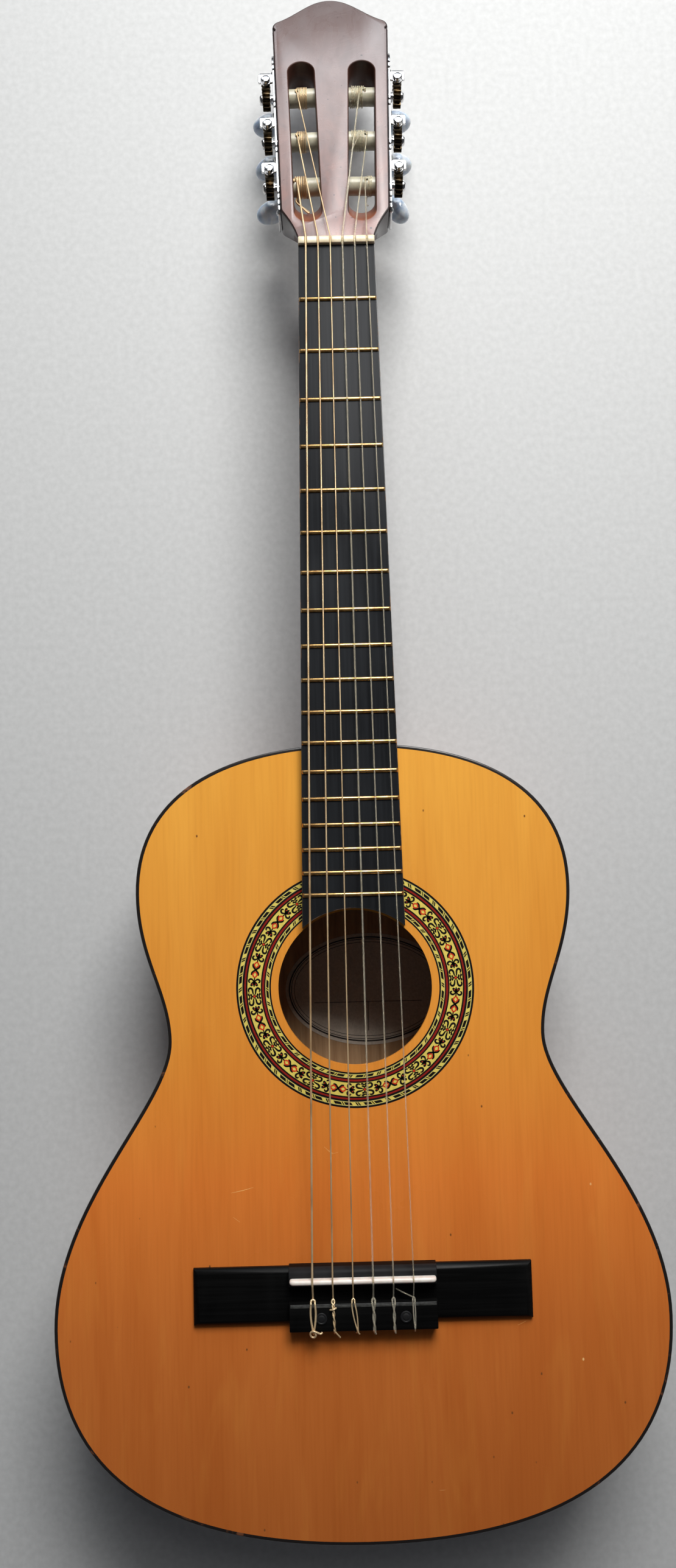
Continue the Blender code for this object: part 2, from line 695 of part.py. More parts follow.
def build_bridge():
    base = BODY_DEPTH + GAP
    top = BODY_DEPTH + BLOCK_HEIGHT
    channel = BODY_DEPTH + CHANNEL_HEIGHT
    bead_back = SADDLE_Y - 0.5 * SADDLE_THICK - 2.2
    section = [(BLOCK_BACK_Y, base), (BLOCK_BACK_Y, top - 1.6), (BLOCK_BACK_Y + 1.6, top),
               (TIE_FRONT_Y - 0.8, top), (TIE_FRONT_Y, top - 0.8), (TIE_FRONT_Y, channel),
               (bead_back - 1.0, channel), (bead_back, channel + 1.0),
               (bead_back, top - 1.2), (bead_back + 0.8, top - 0.4)]
    bead_centre = 0.5 * (bead_back + BLOCK_FRONT_Y)
    section += [(bead_centre, top), (BLOCK_FRONT_Y - 1.6, top - 1.0),
                (BLOCK_FRONT_Y - 0.3, top - 3.2), (BLOCK_FRONT_Y, base)]
    rings = [[Vector((x, y, z)) for y, z in section] for x in (-BLOCK_HALF, BLOCK_HALF)]
    bridge = loft("bridge", rings)

    wing = box("bridge_wings", (-BRIDGE_HALF, BRIDGE_BACK_Y, base),
               (BRIDGE_HALF, BRIDGE_FRONT_Y, BODY_DEPTH + WING_HEIGHT))
    wing_bevel = bevel(wing, 2.4)
    wing_bevel.limit_method = "WEIGHT"
    weights = wing.data.attributes.new("bevel_weight_edge", "FLOAT", "EDGE")
    top_z = (BODY_DEPTH + WING_HEIGHT) * MM
    for edge in wing.data.edges:
        heights = [wing.data.vertices[index].co.z for index in edge.vertices]
        weights.data[edge.index].value = 1.0 if min(heights) > top_z - 1e-5 else 0.0
    boolean(bridge, wing, "UNION")

    room = 0.5 * SADDLE_THICK + GAP
    slot = box("saddle_slot", (-SADDLE_HALF - GAP, SADDLE_Y - room, channel),
               (SADDLE_HALF + GAP, SADDLE_Y + room, top + 4.0))
    boolean(bridge, slot, "DIFFERENCE")
    for number in range(1, STRING_COUNT + 1):
        x = 0.5 * SADDLE_SPAN * string_fraction(number)
        hole = round_bar("string_hole_%d" % number, 0.9, (x, TIE_FRONT_Y + 2.0, channel + 2.6),
                         (x, BLOCK_BACK_Y - 2.0, channel + 1.4), 8)
        boolean(bridge, hole, "DIFFERENCE")
    link_part(bridge, "ebonised")

    half_thick = 0.5 * SADDLE_THICK
    saddle_low = channel + GAP
    arch = [(half_thick, saddle_low), (half_thick, SADDLE_TOP - 1.2),
            (0.6 * half_thick, SADDLE_TOP - 0.3), (0.0, SADDLE_TOP),
            (-0.6 * half_thick, SADDLE_TOP - 0.3), (-half_thick, SADDLE_TOP - 1.2),
            (-half_thick, saddle_low)]
    rings = []
    for x, drop in ((-SADDLE_HALF, 2.0), (-SADDLE_HALF + 2.0, 0.0),
                    (SADDLE_HALF - 2.0, 0.0), (SADDLE_HALF, 2.0)):
        ring = []
        for offset, height in arch:
            lowered = height - drop if height > saddle_low else height
            ring.append(Vector((x, SADDLE_Y + offset, lowered)))
        rings.append(ring)
    link_part(loft("saddle", rings), "bone")

    for name, sign in (("treble", 1.0), ("bass", -1.0)):
        low = top + GAP
        cap = round_bar(name + "_bolt_cap", CAP_RADIUS, (sign * CAP_X, CAP_Y, low),
                        (sign * CAP_X, CAP_Y, low + 0.9))
        bevel(cap, 0.5)
        link_part(cap, "ebonised")


# ----------------------------------------------------------------- tuning machines

def tuner_place(number):
    """The side and the place along it of the machine that takes a string."""
    if number > 3:
        return -1.0, ROLLER_B[6 - number]
    return 1.0, ROLLER_B[number - 1]


def machine_matrix(number):
    """The frame at the roller's axis, on the headstock's side face."""
    sign, along = tuner_place(number)
    shift = Matrix.Translation((0.0, along * MM, ROLLER_C * MM))
    return side_frame(sign) @ shift


def worm_matrix(number):
    """The frame at the worm's axis, level with the roller."""
    sign, _ = tuner_place(number)
    shift = Matrix.Translation((sign * GEAR_A * MM, WORM_OFFSET * MM, 0.0))
    return machine_matrix(number) @ shift


def gear_outline():
    """Fourteen trapezoid teeth about the origin, one of them centred on +Y."""
    points = []
    for tooth in range(GEAR_TEETH):
        centre = 2.0 * math.pi * tooth / GEAR_TEETH
        for radius, half in ((GEAR_ROOT_RADIUS, -0.45), (GEAR_TIP_RADIUS, -0.22),
                             (GEAR_TIP_RADIUS, 0.22), (GEAR_ROOT_RADIUS, 0.45)):
            angle = centre + half / radius
            points.append(Vector((radius * math.cos(angle), radius * math.sin(angle))))
    return points


def build_gear(number):
    """The gear, bored for the roller's stub, its teeth leaning with the worm's thread."""
    sign, _ = tuner_place(number)
    bore = circle(0.0, 0.0, STUB_RADIUS + GAP, 12)
    gear = flat_plate("gear_%d" % number, [gear_outline(), bore],
                      -0.5 * GEAR_THICK, 0.5 * GEAR_THICK)
    lay_down = Matrix(((0, 0, 1, 0), (1, 0, 0, 0), (0, 1, 0, 0), (0, 0, 0, 1)))
    gear.data.transform(lay_down)
    lean = WORM_LEAD / (2.0 * math.pi * WORM_WIRE_CENTRE * GEAR_PITCH_RADIUS)
    for vertex in gear.data.vertices:
        turn = Matrix.Rotation(lean * vertex.co.x / MM, 3, "X")
        vertex.co = turn @ vertex.co
    gear.data.transform(Matrix.Translation((sign * GEAR_A * MM, 0.0, 0.0)))
    gear.matrix_world = machine_matrix(number)
    link_part(gear, "gear_brass")


def build_roller(number):
    """The roller, with the journal through the plate and the screw that holds the gear."""
    sign, _ = tuner_place(number)
    gear_in = GEAR_A - 0.5 * GEAR_THICK - GAP
    gear_out = GEAR_A + 0.5 * GEAR_THICK + GAP
    profile = [(gear_out + 1.7, 0.0), (gear_out + 1.7, 1.7), (gear_out + 1.1, 2.7),
               (gear_out, 2.9), (gear_out, STUB_RADIUS), (gear_in, STUB_RADIUS),
               (gear_in, JOURNAL_RADIUS), (-0.4, JOURNAL_RADIUS), (-0.4, ROLLER_RADIUS),
               (-ROLLER_INSIDE, ROLLER_RADIUS), (-ROLLER_INSIDE, 0.0)]
    roller = turned("roller_%d" % number, profile, sign)
    roller.matrix_world = machine_matrix(number)
    link_part(roller, "roller_plastic", 35)


def worm_thread(name):
    """A right-handed thread about the local Z axis, a gap of it facing the gear."""
    points = []
    steps = 7
    count = int(2 * WORM_HALF_TURNS * steps)
    for index in range(-count // 2, count // 2 + 1):
        turns = index / steps
        angle = 2.0 * math.pi * turns - 0.5 * math.pi
        height = WORM_LEAD * (turns + 0.5)
        points.append(Vector((WORM_WIRE_CENTRE * math.cos(angle),
                              WORM_WIRE_CENTRE * math.sin(angle), height)))
    return tube(name, points, WORM_WIRE_RADIUS, 1)


def build_worm(number):
    """The worm's shaft, its thread, the end in the front lug and the button behind."""
    front = FRONT_LUG_C - ROLLER_C
    back = BACK_LUG_C - ROLLER_C
    button_z = BUTTON_C - ROLLER_C
    collar = front - 0.5 * LUG_THICK - GAP
    worm = round_bar("worm_%d" % number, WORM_CORE, (0, 0, button_z + 4.0), (0, 0, front), 10)
    boolean(worm, worm_thread("worm_thread_%d" % number), "UNION")
    tip = round_bar("worm_tip_%d" % number, WORM_END_RADIUS, (0, 0, collar - 0.8),
                    (0, 0, front + 0.5 * LUG_THICK + 0.5), 12)
    boolean(worm, tip, "UNION")
    stem = round_bar("worm_stem_%d" % number, 2.1, (0, 0, button_z),
                     (0, 0, back + 0.5 * LUG_THICK + 0.5), 12)
    boolean(worm, stem, "UNION")

    ball = bmesh.new()
    bmesh.ops.create_uvsphere(ball, u_segments=12, v_segments=7, radius=0.5)
    for vertex in ball.verts:
        flat = math.copysign(abs(2.0 * vertex.co.y) ** 0.75, vertex.co.y)
        vertex.co.y = 0.5 * flat
    bmesh.ops.scale(ball, vec=BUTTON_SIZE, verts=ball.verts)
    bmesh.ops.translate(ball, vec=(0.0, 0.0, button_z), verts=ball.verts)
    rest_turn = Matrix.Rotation(math.radians(BUTTON_TURNS[number - 1]), 3, "Z")
    bmesh.ops.transform(ball, matrix=rest_turn.to_4x4(), verts=ball.verts)
    boolean(worm, object_from_bmesh("worm_button_%d" % number, ball), "UNION")

    worm.matrix_world = worm_matrix(number)
    for modifier in worm.modifiers:
        modifier.object.matrix_world = worm.matrix_world
    link_part(worm, "worm_steel", 35)


def plate_outline():
    """The plate from its nut end to its tip end, with scalloped front and back edges."""
    front, back = -0.9, -18.1
    notch, pitch = 1.2, 4.4
    stretches = [(4.0, 3), (44.0, 2), (79.0, 2), (109.0, 2)]
    upper = [Vector((0.0, front - 2.5)), Vector((2.0, front))]
    for start, count in stretches:
        for index in range(count):
            centre = start + notch + pitch * index
            for step in range(4):
                angle = math.pi * (1.0 - step / 3)
                upper.append(Vector((centre + notch * math.cos(angle),
                                     front - notch * math.sin(angle))))
    upper += [Vector((PLATE_LENGTH - 2.0, front)), Vector((PLATE_LENGTH, front - 2.5))]
    middle = 0.5 * (front + back)
    lower = [Vector((point.x, 2.0 * middle - point.y)) for point in reversed(upper)]
    return upper + lower


def plate_blank():
    """The treble plate with its six U-shaped lugs, as a settled mesh in the side's frame."""
    holes = [circle(along, ROLLER_C, JOURNAL_RADIUS + GAP, 12) for along in ROLLER_B]
    blank = flat_plate("plate_blank", [plate_outline()] + holes, PLATE_A,
                       PLATE_A + PLATE_METAL)
    stand_up = Matrix(((0, 0, 1, 0), (1, 0, 0, 0), (0, 1, 0, 0), (0, 0, 0, 1)))
    blank.data.transform(stand_up)
    for along in ROLLER_B:
        for height in (FRONT_LUG_C, BACK_LUG_C):
            lug = flat_plate("lug_%d_%d" % (along, -height), [lug_outline(along)],
                             height - 0.5 * LUG_THICK, height + 0.5 * LUG_THICK)
            boolean(blank, lug, "UNION")
    return settled(blank)


def build_plates():
    """Both machine plates: the bass one is the mirror image of the treble one."""
    blank = plate_blank()
    for name, sign in (("treble_machine_plate", 1.0), ("bass_machine_plate", -1.0)):
        mesh = blank.copy()
        if sign < 0.0:
            mesh.transform(Matrix.Diagonal((-1.0, 1.0, 1.0, 1.0)))
            mesh.flip_normals()
        plate = bpy.data.objects.new(name, mesh)
        bpy.context.scene.collection.objects.link(plate)
        plate.matrix_world = side_frame(sign)
        link_part(plate, "chrome")


def lug_outline(along):
    """A tab with an open round-bottomed slot for the worm shaft, facing the gear."""
    centre_b = along + WORM_OFFSET
    room = WORM_END_RADIUS + GAP
    outer = room + 1.5
    leg = centre_b - 3.0
    points = [Vector((PLATE_A + 0.2, leg)), Vector((PLATE_A + 0.2, centre_b + outer)),
              Vector((GEAR_A + outer - 1.8, centre_b + outer)),
              Vector((GEAR_A + outer, centre_b + outer - 1.8)), Vector((GEAR_A + outer, leg)),
              Vector((GEAR_A + room, leg))]
    steps = 6
    for step in range(steps + 1):
        angle = math.pi * step / steps
        points.append(Vector((GEAR_A + room * math.cos(angle),
                              centre_b + room * math.sin(angle))))
    points.append(Vector((GEAR_A - room, leg)))
    return points


# ----------------------------------------------------------------------- the strings

def build_string(number):
    """A string from the tie block over the saddle and the nut to its roller."""
    radius = STRING_RADII[number - 1]
    fraction = string_fraction(number)
    saddle_x = 0.5 * SADDLE_SPAN * fraction
    nut_x = 0.5 * NUT_SPAN * fraction
    channel = BODY_DEPTH + CHANNEL_HEIGHT
    sign, along = tuner_place(number)
    top = ROLLER_C + ROLLER_RADIUS + GAP + radius
    landing = Vector((-sign * STRING_LANDING[number - 1], along, top))
    roller_point = side_frame(sign) @ (landing * MM) / MM
    lift = GAP + radius
    nut_floor = BOARD_TOP + NUT_HEIGHT - 2.0 * radius - 2.0 * GAP
    points = [
        Vector((saddle_x, TIE_FRONT_Y + GAP + 0.3, channel + 2.6)),
        Vector((saddle_x, SADDLE_Y - 0.6, SADDLE_TOP + lift)),
        Vector((saddle_x, SADDLE_Y + 0.6, SADDLE_TOP + lift)),
        Vector((nut_x, SCALE_LENGTH + GAP, nut_floor + lift)),
        Vector((nut_x, SCALE_LENGTH + GAP + NUT_LENGTH, nut_floor + lift - 0.1)),
        roller_point,
    ]
    finish = "nylon" if number < 4 else "wound_string"
    link_part(tube("string_%d" % number, points, radius, 1), finish, 60)


# How far from the headstock's side each string lands on its roller
STRING_LANDING = [14.5, 13.0, 17.5, 13.0, 12.0, 10.5]


# ----------------------------------------------------------------------- all of it

build_soundbox()
build_neck()
build_fingerboard()
build_frets()
build_nut()
build_bridge()
build_plates()
for string_number in range(1, STRING_COUNT + 1):
    build_worm(string_number)
    build_gear(string_number)
    build_roller(string_number)
    build_string(string_number)
bpy.context.view_layer.update()
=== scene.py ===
"""The looks of the three-quarter size classical guitar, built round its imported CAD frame.

Shapes are worked out in millimetres in the row frame (+X treble side, +Y towards the
headstock, +Z out of the soundboard) and turned into metres where a mesh is made.
"""

import math
import random

import bmesh
import bpy
from mathutils import Matrix, Vector


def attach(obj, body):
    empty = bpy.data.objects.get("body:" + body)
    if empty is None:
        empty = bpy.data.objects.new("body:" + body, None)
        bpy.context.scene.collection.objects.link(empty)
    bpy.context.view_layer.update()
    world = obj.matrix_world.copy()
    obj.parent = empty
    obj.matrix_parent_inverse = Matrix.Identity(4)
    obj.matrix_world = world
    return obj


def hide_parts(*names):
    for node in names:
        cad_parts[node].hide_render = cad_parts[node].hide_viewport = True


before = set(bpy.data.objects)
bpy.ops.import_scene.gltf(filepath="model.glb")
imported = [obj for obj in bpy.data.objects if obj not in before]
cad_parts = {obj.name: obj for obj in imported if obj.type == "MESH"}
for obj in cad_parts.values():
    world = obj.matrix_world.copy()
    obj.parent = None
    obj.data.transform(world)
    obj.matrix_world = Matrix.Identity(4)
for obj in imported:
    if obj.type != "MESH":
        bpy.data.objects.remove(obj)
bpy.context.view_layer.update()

MM = 0.001
# Draws the angles at which the plate screws' slits came to rest
DRAW = random.Random(7)

# Driving dimensions in millimetres, the same as the CAD part's
SCALE_LENGTH = 580.0
FRET_COUNT = 18
STRING_COUNT = 6
NUT_SPAN = 35.4
SADDLE_SPAN = 54.3
STRING_RADII = [0.36, 0.42, 0.51, 0.38, 0.45, 0.56]
BODY_DEPTH = 88.0
PLATE_THICK = 2.5
SIDE_THICK = 2.0
BINDING_HEIGHT = 6.0
BOARD_INSET = SIDE_THICK + 0.05
UPPER_BOUT = Vector((121.8, 208.0))
WAIST = Vector((104.6, 125.8))
LOWER_BOUT = Vector((168.8, -27.6))
BODY_TOP_Y = 290.0
BODY_END_Y = -143.8
HOLE_Y = 153.5
HOLE_RADIUS = 42.8
ROSETTE_INNER = 47.0
ROSETTE_OUTER = 66.27
LABEL_CENTRE = Vector((9.0, 143.0))
LABEL_HALF = Vector((52.0, 35.0))
BOARD_TOP = BODY_DEPTH + 7.0
NUT_HALF = 22.15
BOARD_TAPER = 0.0162
BOARD_END_Y = 187.0
NUT_LENGTH = 4.7
NUT_TOP = BOARD_TOP + 2.4
FRET_FLOOR = BOARD_TOP + 0.05
HEAD_TILT = math.radians(13.0)
HEAD_ORIGIN = Vector((0.0, 585.3, 90.0))
HEAD_THICK = 19.0
HEAD_SHOULDER = Vector((32.3, 23.0))
HEAD_CORNER = Vector((35.6, 169.5))
HEAD_CROWN_U = 188.7
SPLAY = math.radians(1.5)
SLOT_WIDTH = 16.0
SLOT_FROM_SIDE = 16.3
SLOT_START_U = 14.4
SLOT_END_U = 137.3
SLOT_RAMP = 1.25
ROLLER_B = [25.5, 60.5, 95.5]
ROLLER_C = -9.3
ROLLER_RADIUS = 5.2
ROLLER_INSIDE = 31.0
GEAR_A = 5.9
GEAR_THICK = 4.8
GEAR_TEETH = 14
GEAR_PITCH_RADIUS = 5.6
WORM_OFFSET = 8.0
WORM_LEAD = 2.0 * math.pi * GEAR_PITCH_RADIUS / GEAR_TEETH
FRONT_LUG_C = -2.0
BACK_LUG_C = -17.0
LUG_THICK = 1.4
BUTTON_C = -35.0
BUTTON_TURNS = [-50.0, 0.0, 5.0, 10.0, 25.0, 20.0]
PLATE_A = 0.3
PLATE_METAL = 1.2
PLATE_LENGTH = 123.0
BRIDGE_HALF = 92.2
BRIDGE_FRONT_Y = 3.8
BRIDGE_BACK_Y = -26.2
WING_HEIGHT = 4.4
BLOCK_HALF = 40.0
BLOCK_FRONT_Y = 4.7
BLOCK_BACK_Y = -28.8
BLOCK_TOP = BODY_DEPTH + 9.3
TIE_FRONT_Y = -13.6
CHANNEL_TOP = BODY_DEPTH + 3.6
SADDLE_Y = -1.6
SADDLE_HALF = 39.5
SADDLE_THICK = 2.8
SADDLE_TOP = 101.0
CAP_PLACE = Vector((22.75, -21.4))
CAP_RADIUS = 3.1
WINDING_PITCH = 0.26


# ------------------------------------------------------------------------- finishes

class Finish:
    """A procedural material, built node by node in the row frame's coordinates."""

    def __init__(self, name, **values):
        self.material = bpy.data.materials.new(name)
        self.material.use_nodes = True
        self.tree = self.material.node_tree
        self.shader = self.tree.nodes["Principled BSDF"]
        self.place = self.tree.nodes.new("ShaderNodeTexCoord").outputs["Object"]
        for key, value in values.items():
            self.put(key.replace("_", " ").title().replace("Ior", "IOR"), value)

    def feed(self, socket, value):
        if isinstance(value, bpy.types.NodeSocket):
            self.tree.links.new(value, socket)
        elif socket.type == "RGBA" and len(value) == 3:
            socket.default_value = (*value, 1.0)
        else:
            socket.default_value = value

    def put(self, name, value):
        self.feed(self.shader.inputs[name], value)

    def node(self, kind, feeds, output=0, **settings):
        made = self.tree.nodes.new("ShaderNode" + kind)
        for key, value in settings.items():
            setattr(made, key, value)
        for key, value in feeds.items():
            self.feed(made.inputs[key], value)
        return made.outputs[output]

    def stretched(self, scale, turn=(0.0, 0.0, 0.0)):
        return self.node("Mapping", {"Vector": self.place, "Scale": scale, "Rotation": turn})

    def noise(self, scale, detail=4.0, distortion=0.0, roughness=0.5, turn=(0.0, 0.0, 0.0)):
        return self.node("TexNoise", {"Vector": self.stretched(scale, turn), "Scale": 1.0,
                                      "Detail": detail, "Distortion": distortion,
                                      "Roughness": roughness})

    def cells(self, scale):
        return self.node("TexVoronoi", {"Vector": self.stretched(scale), "Scale": 1.0})

    def part(self, axis):
        return self.node("SeparateXYZ", {"Vector": self.place}, "XYZ".index(axis))

    def span(self, value, low, high, out_low=0.0, out_high=1.0):
        return self.node("MapRange", {"Value": value, "From Min": low, "From Max": high,
                                      "To Min": out_low, "To Max": out_high})

    def ramp(self, value, *stops):
        made = self.tree.nodes.new("ShaderNodeValToRGB")
        elements = made.color_ramp.elements
        while len(elements) < len(stops):
            elements.new(0.5)
        for element, (position, colour) in zip(elements, stops):
            element.position = position
            element.color = (*colour, 1.0)
        self.tree.links.new(value, made.inputs[0])
        return made.outputs[0]

    def mix(self, share, first, second, mode="MIX"):
        return self.node("Mix", {0: share, 6: first, 7: second}, 2,
                         data_type="RGBA", blend_type=mode)

    def sum(self, operation, first, second):
        return self.node("Math", {0: first, 1: second}, operation=operation)

    def colour(self, tint):
        self.put("Base Color", tint)

    def roughen(self, cloud, low, high):
        """Let the roughness follow a noise from low to high."""
        self.put("Roughness", self.span(cloud, 0.3, 0.7, low, high))

    def bump(self, height, distance, strength, below=None):
        feeds = {"Height": height, "Distance": distance * MM, "Strength": strength}
        if below is not None:
            feeds["Normal"] = below
        normal = self.node("Bump", feeds)
        self.put("Normal", normal)
        return normal


def even(scale):
    return (scale, scale, scale)


def shade(colour, factor):
    """A colour made lighter or darker."""
    return tuple(min(factor * part, 1.0) for part in colour)


def spruce_finish():
    """Amber varnish on straight-grained spruce, warmer and darker to the tail: partly the varnish's
    tone and partly painted shade where less light falls.
    """
    f = Finish("spruce_varnish", roughness=0.3, specular_ior_level=0.12)
    # Painted shade: the ramp along the body darkens to the tail for the light falling off there; the
    # rest of its change is the varnish's own tone.
    along = f.span(f.part("Y"), -0.15, 0.30)
    base = f.ramp(along, (0.02, (0.47, 0.129, 0.026)), (0.27, (0.61, 0.170, 0.033)),
                  (0.44, (0.81, 0.232, 0.040)), (0.61, (0.84, 0.315, 0.046)),
                  (0.92, (0.88, 0.400, 0.060)))
    broad = f.noise((30.0, 3.6, 1.0), 4.0, 0.9)
    streak = f.mix(f.span(broad, 0.36, 0.66), (1.03, 1.05, 1.07), (0.94, 0.89, 0.84))
    tint = f.mix(1.0, base, streak, "MULTIPLY")
    fine = f.noise((620.0, 20.0, 1.0), 3.0, 0.3)
    tint = f.mix(f.span(fine, 0.42, 0.72, 0.0, 0.22), tint,
                 f.mix(1.0, tint, (0.74, 0.64, 0.55), "MULTIPLY"))
    fleck = f.noise((60.0, 9.0, 1.0), 5.0, 1.2)
    tint = f.mix(f.span(fleck, 0.54, 0.8, 0.0, 0.12), tint, (0.90, 0.42, 0.08))
    specks = f.cells((70.0, 46.0, 1.0))
    tint = f.mix(f.span(specks, 0.045, 0.02), tint, (0.20, 0.07, 0.02))
    dents = f.cells((27.0, 19.0, 1.0))
    tint = f.mix(f.span(dents, 0.020, 0.008), tint, (1.0, 0.62, 0.25))
    scratch = f.noise((34.0, 520.0, 1.0), 2.0, 0.3, turn=(0.0, 0.0, 0.42))
    where = f.noise((24.0, 24.0, 1.0), 1.0)
    scored = f.sum("MULTIPLY", f.span(scratch, 0.735, 0.76), f.span(where, 0.60, 0.64))
    tint = f.mix(f.sum("MULTIPLY", scored, 0.5), tint, (0.95, 0.55, 0.2))
    f.colour(tint)
    f.roughen(f.noise((14.0, 14.0, 1.0), 5.0), 0.20, 0.34)
    waves = f.bump(f.noise((7.0, 5.0, 1.0), 1.0), 1.2, 0.22)
    f.bump(f.sum("SUBTRACT", f.sum("MULTIPLY", fine, 0.5), scored), 0.05, 0.5, waves)
    return f.material


def stained_finish(name, light, dark, scale, roughness=0.26, gloss=0.5):
    """A gloss stain over wood; scale stretches the grain along its own direction."""
    f = Finish(name, coat_weight=gloss, coat_roughness=0.16, roughness=roughness)
    grain = f.noise(scale, 6.0, 0.8, 0.62)
    broad = f.noise([0.09 * part for part in scale], 3.0, 0.6)
    tone = f.sum("ADD", f.sum("MULTIPLY", grain, 0.6), f.sum("MULTIPLY", broad, 0.4))
    tint = f.ramp(tone, (0.34, dark), (0.62, light))
    marks = f.cells((95.0, 60.0, 95.0))
    tint = f.mix(f.span(marks, 0.05, 0.02, 0.0, 0.7), tint, shade(dark, 0.4))
    f.colour(tint)
    f.roughen(f.noise(even(26.0), 5.0), roughness - 0.06, roughness + 0.1)
    f.bump(grain, 0.06, 0.35)
    return f.material


def face_finish():
    """The front of the headstock: worn stain with patches where the gloss has gone."""
    f = Finish("face_stain", coat_weight=0.8, specular_ior_level=0.4)
    along = f.span(f.part("Y"), 0.585, 0.765)
    base = f.ramp(along, (0.0, (0.27, 0.120, 0.095)), (0.45, (0.22, 0.125, 0.105)),
                  (0.75, (0.18, 0.115, 0.105)), (1.0, (0.12, 0.085, 0.082)))
    patch = f.noise((38.0, 24.0, 38.0), 5.0, 1.4, 0.6)
    tint = f.mix(f.span(patch, 0.40, 0.66, 0.0, 0.7), base, (0.13, 0.095, 0.092))
    grain = f.noise((260.0, 11.0, 260.0), 5.0, 0.6)
    tint = f.mix(f.span(grain, 0.5, 0.75, 0.0, 0.35), tint, (0.10, 0.045, 0.035))
    specks = f.cells(even(150.0))
    tint = f.mix(f.span(specks, 0.09, 0.05), tint, (0.05, 0.022, 0.018))
    nicks = f.cells(even(60.0))
    tint = f.mix(f.span(nicks, 0.055, 0.04), tint, (0.03, 0.014, 0.012))
    f.colour(tint)
    gloss = f.noise((30.0, 45.0, 30.0), 5.0, 1.0, 0.6)
    f.roughen(patch, 0.22, 0.42)
    f.put("Coat Roughness", f.span(gloss, 0.32, 0.68, 0.20, 0.36))
    f.bump(f.sum("ADD", grain, f.span(nicks, 0.0, 0.06)), 0.05, 0.3)
    return f.material


def ebonised_finish(name, base, sheen, roughness, scale=(14.0, 600.0, 300.0)):
    """Black stained wood with open grain, along X unless the scale says otherwise."""
    f = Finish(name, roughness=roughness, specular_ior_level=0.055)
    grain = f.noise(scale, 4.0, 0.3)
    cloud = f.noise((32.0, 9.0, 20.0), 4.0, 0.5)
    tint = f.mix(f.span(grain, 0.4, 0.75), base, sheen)
    tint = f.mix(f.span(cloud, 0.45, 0.75, 0.0, 0.55), tint, shade(sheen, 1.5))
    f.colour(tint)
    f.roughen(cloud, roughness - 0.08, roughness + 0.12)
    f.bump(grain, 0.08, 0.5)
    return f.material


def worn_edge_finish(name, dark, bare, threshold):
    """A dark strip that is rubbed through to brown in places."""
    f = Finish(name, roughness=0.38, coat_weight=0.25)
    rubbed = f.noise(even(75.0), 5.0, 0.6, 0.68)
    share = f.span(rubbed, threshold, threshold + 0.07)
    wood = f.ramp(f.noise(even(300.0), 3.0), (0.35, bare), (0.7, shade(bare, 1.7)))
    f.colour(f.mix(share, dark, wood))
    f.put("Roughness", f.span(share, 0.0, 1.0, 0.3, 0.62))
    f.bump(rubbed, 0.15, 0.3)
    return f.material


def raw_wood_finish():
    f = Finish("inside_wood", roughness=0.75)
    grain = f.noise((180.0, 12.0, 180.0), 6.0, 1.0, 0.6)
    f.colour(f.ramp(grain, (0.35, (0.44, 0.24, 0.11)), (0.68, (0.66, 0.40, 0.21))))
    f.bump(grain, 0.15, 0.6)
    return f.material


def inlay_finish(name, colour, spread):
    """Dyed fibre or veneer under the varnish, not quite even in its colour; it also makes the
    painted shade on the headstock's front rim.
    """
    f = Finish(name, roughness=0.34, specular_ior_level=0.2)
    tone = f.noise(even(420.0), 4.0)
    f.colour(f.ramp(tone, (0.3, shade(colour, 1.0 - spread)), (0.72, shade(colour, 1.0 + spread))))
    f.bump(tone, 0.03, 0.4)
    return f.material


def metal_finish(name, bright, dull, roughness, scale=160.0):
    """Metal whose tarnish and scuffs come and go."""
    f = Finish(name, metallic=1.0)
    cloud = f.noise(even(scale), 5.0, 0.4, 0.65)
    f.colour(f.ramp(cloud, (0.36, dull), (0.62, bright)))
    f.roughen(cloud, roughness + 0.16, roughness)
    f.bump(f.noise(even(9.0 * scale), 2.0), 0.02, 0.35)
    return f.material


def pearl_finish():
    """Pearly moulded plastic: pale swirls that turn from blue-grey to cream."""
    f = Finish("pearl_plastic", roughness=0.16, coat_weight=0.6, coat_roughness=0.06,
               subsurface_weight=0.12, subsurface_scale=0.004)
    swirl = f.noise((80.0, 80.0, 50.0), 3.0, 1.5, 0.5)
    f.colour(f.ramp(swirl, (0.30, (0.28, 0.38, 0.54)), (0.46, (0.48, 0.56, 0.67)),
                    (0.60, (0.70, 0.74, 0.77)), (0.74, (0.70, 0.68, 0.61))))
    f.roughen(swirl, 0.10, 0.26)
    f.bump(swirl, 0.05, 0.2)
    return f.material


def plastic_finish(name, pale, stained, roughness):
    f = Finish(name, roughness=roughness, subsurface_weight=0.08, subsurface_scale=0.003)
    cloud = f.noise((130.0, 78.0, 130.0), 5.0, 0.8, 0.6)
    f.colour(f.ramp(cloud, (0.3, stained), (0.62, pale)))
    f.roughen(cloud, roughness + 0.1, roughness - 0.05)
    f.bump(f.noise((900.0, 200.0, 900.0), 2.0), 0.02, 0.4)
    return f.material


def wound_finish():
    """Fine round wire wound on a core, tarnished where fingers have been, with painted shade in the
    grooves between the turns.
    """
    f = Finish("silver_winding", metallic=0.45, roughness=0.3)
    wave = f.node("TexWave", {"Vector": f.stretched((0.0, 1.0, 0.0)),
                              "Scale": 0.1 * math.pi / (WINDING_PITCH * MM)}, 1,
                  bands_direction="Y", wave_profile="SIN")
    rub = f.noise((60.0, 40.0, 60.0), 4.0, 0.5)
    tint = f.ramp(rub, (0.34, (0.60, 0.40, 0.21)), (0.60, (0.92, 0.70, 0.42)))
    # Painted shade: the grooves between the turns are mixed towards near-black.
    f.colour(f.mix(f.span(wave, 0.0, 0.4, 0.40, 0.0), tint, (0.06, 0.04, 0.02)))
    f.bump(wave, 0.05, 0.5)
    return f.material


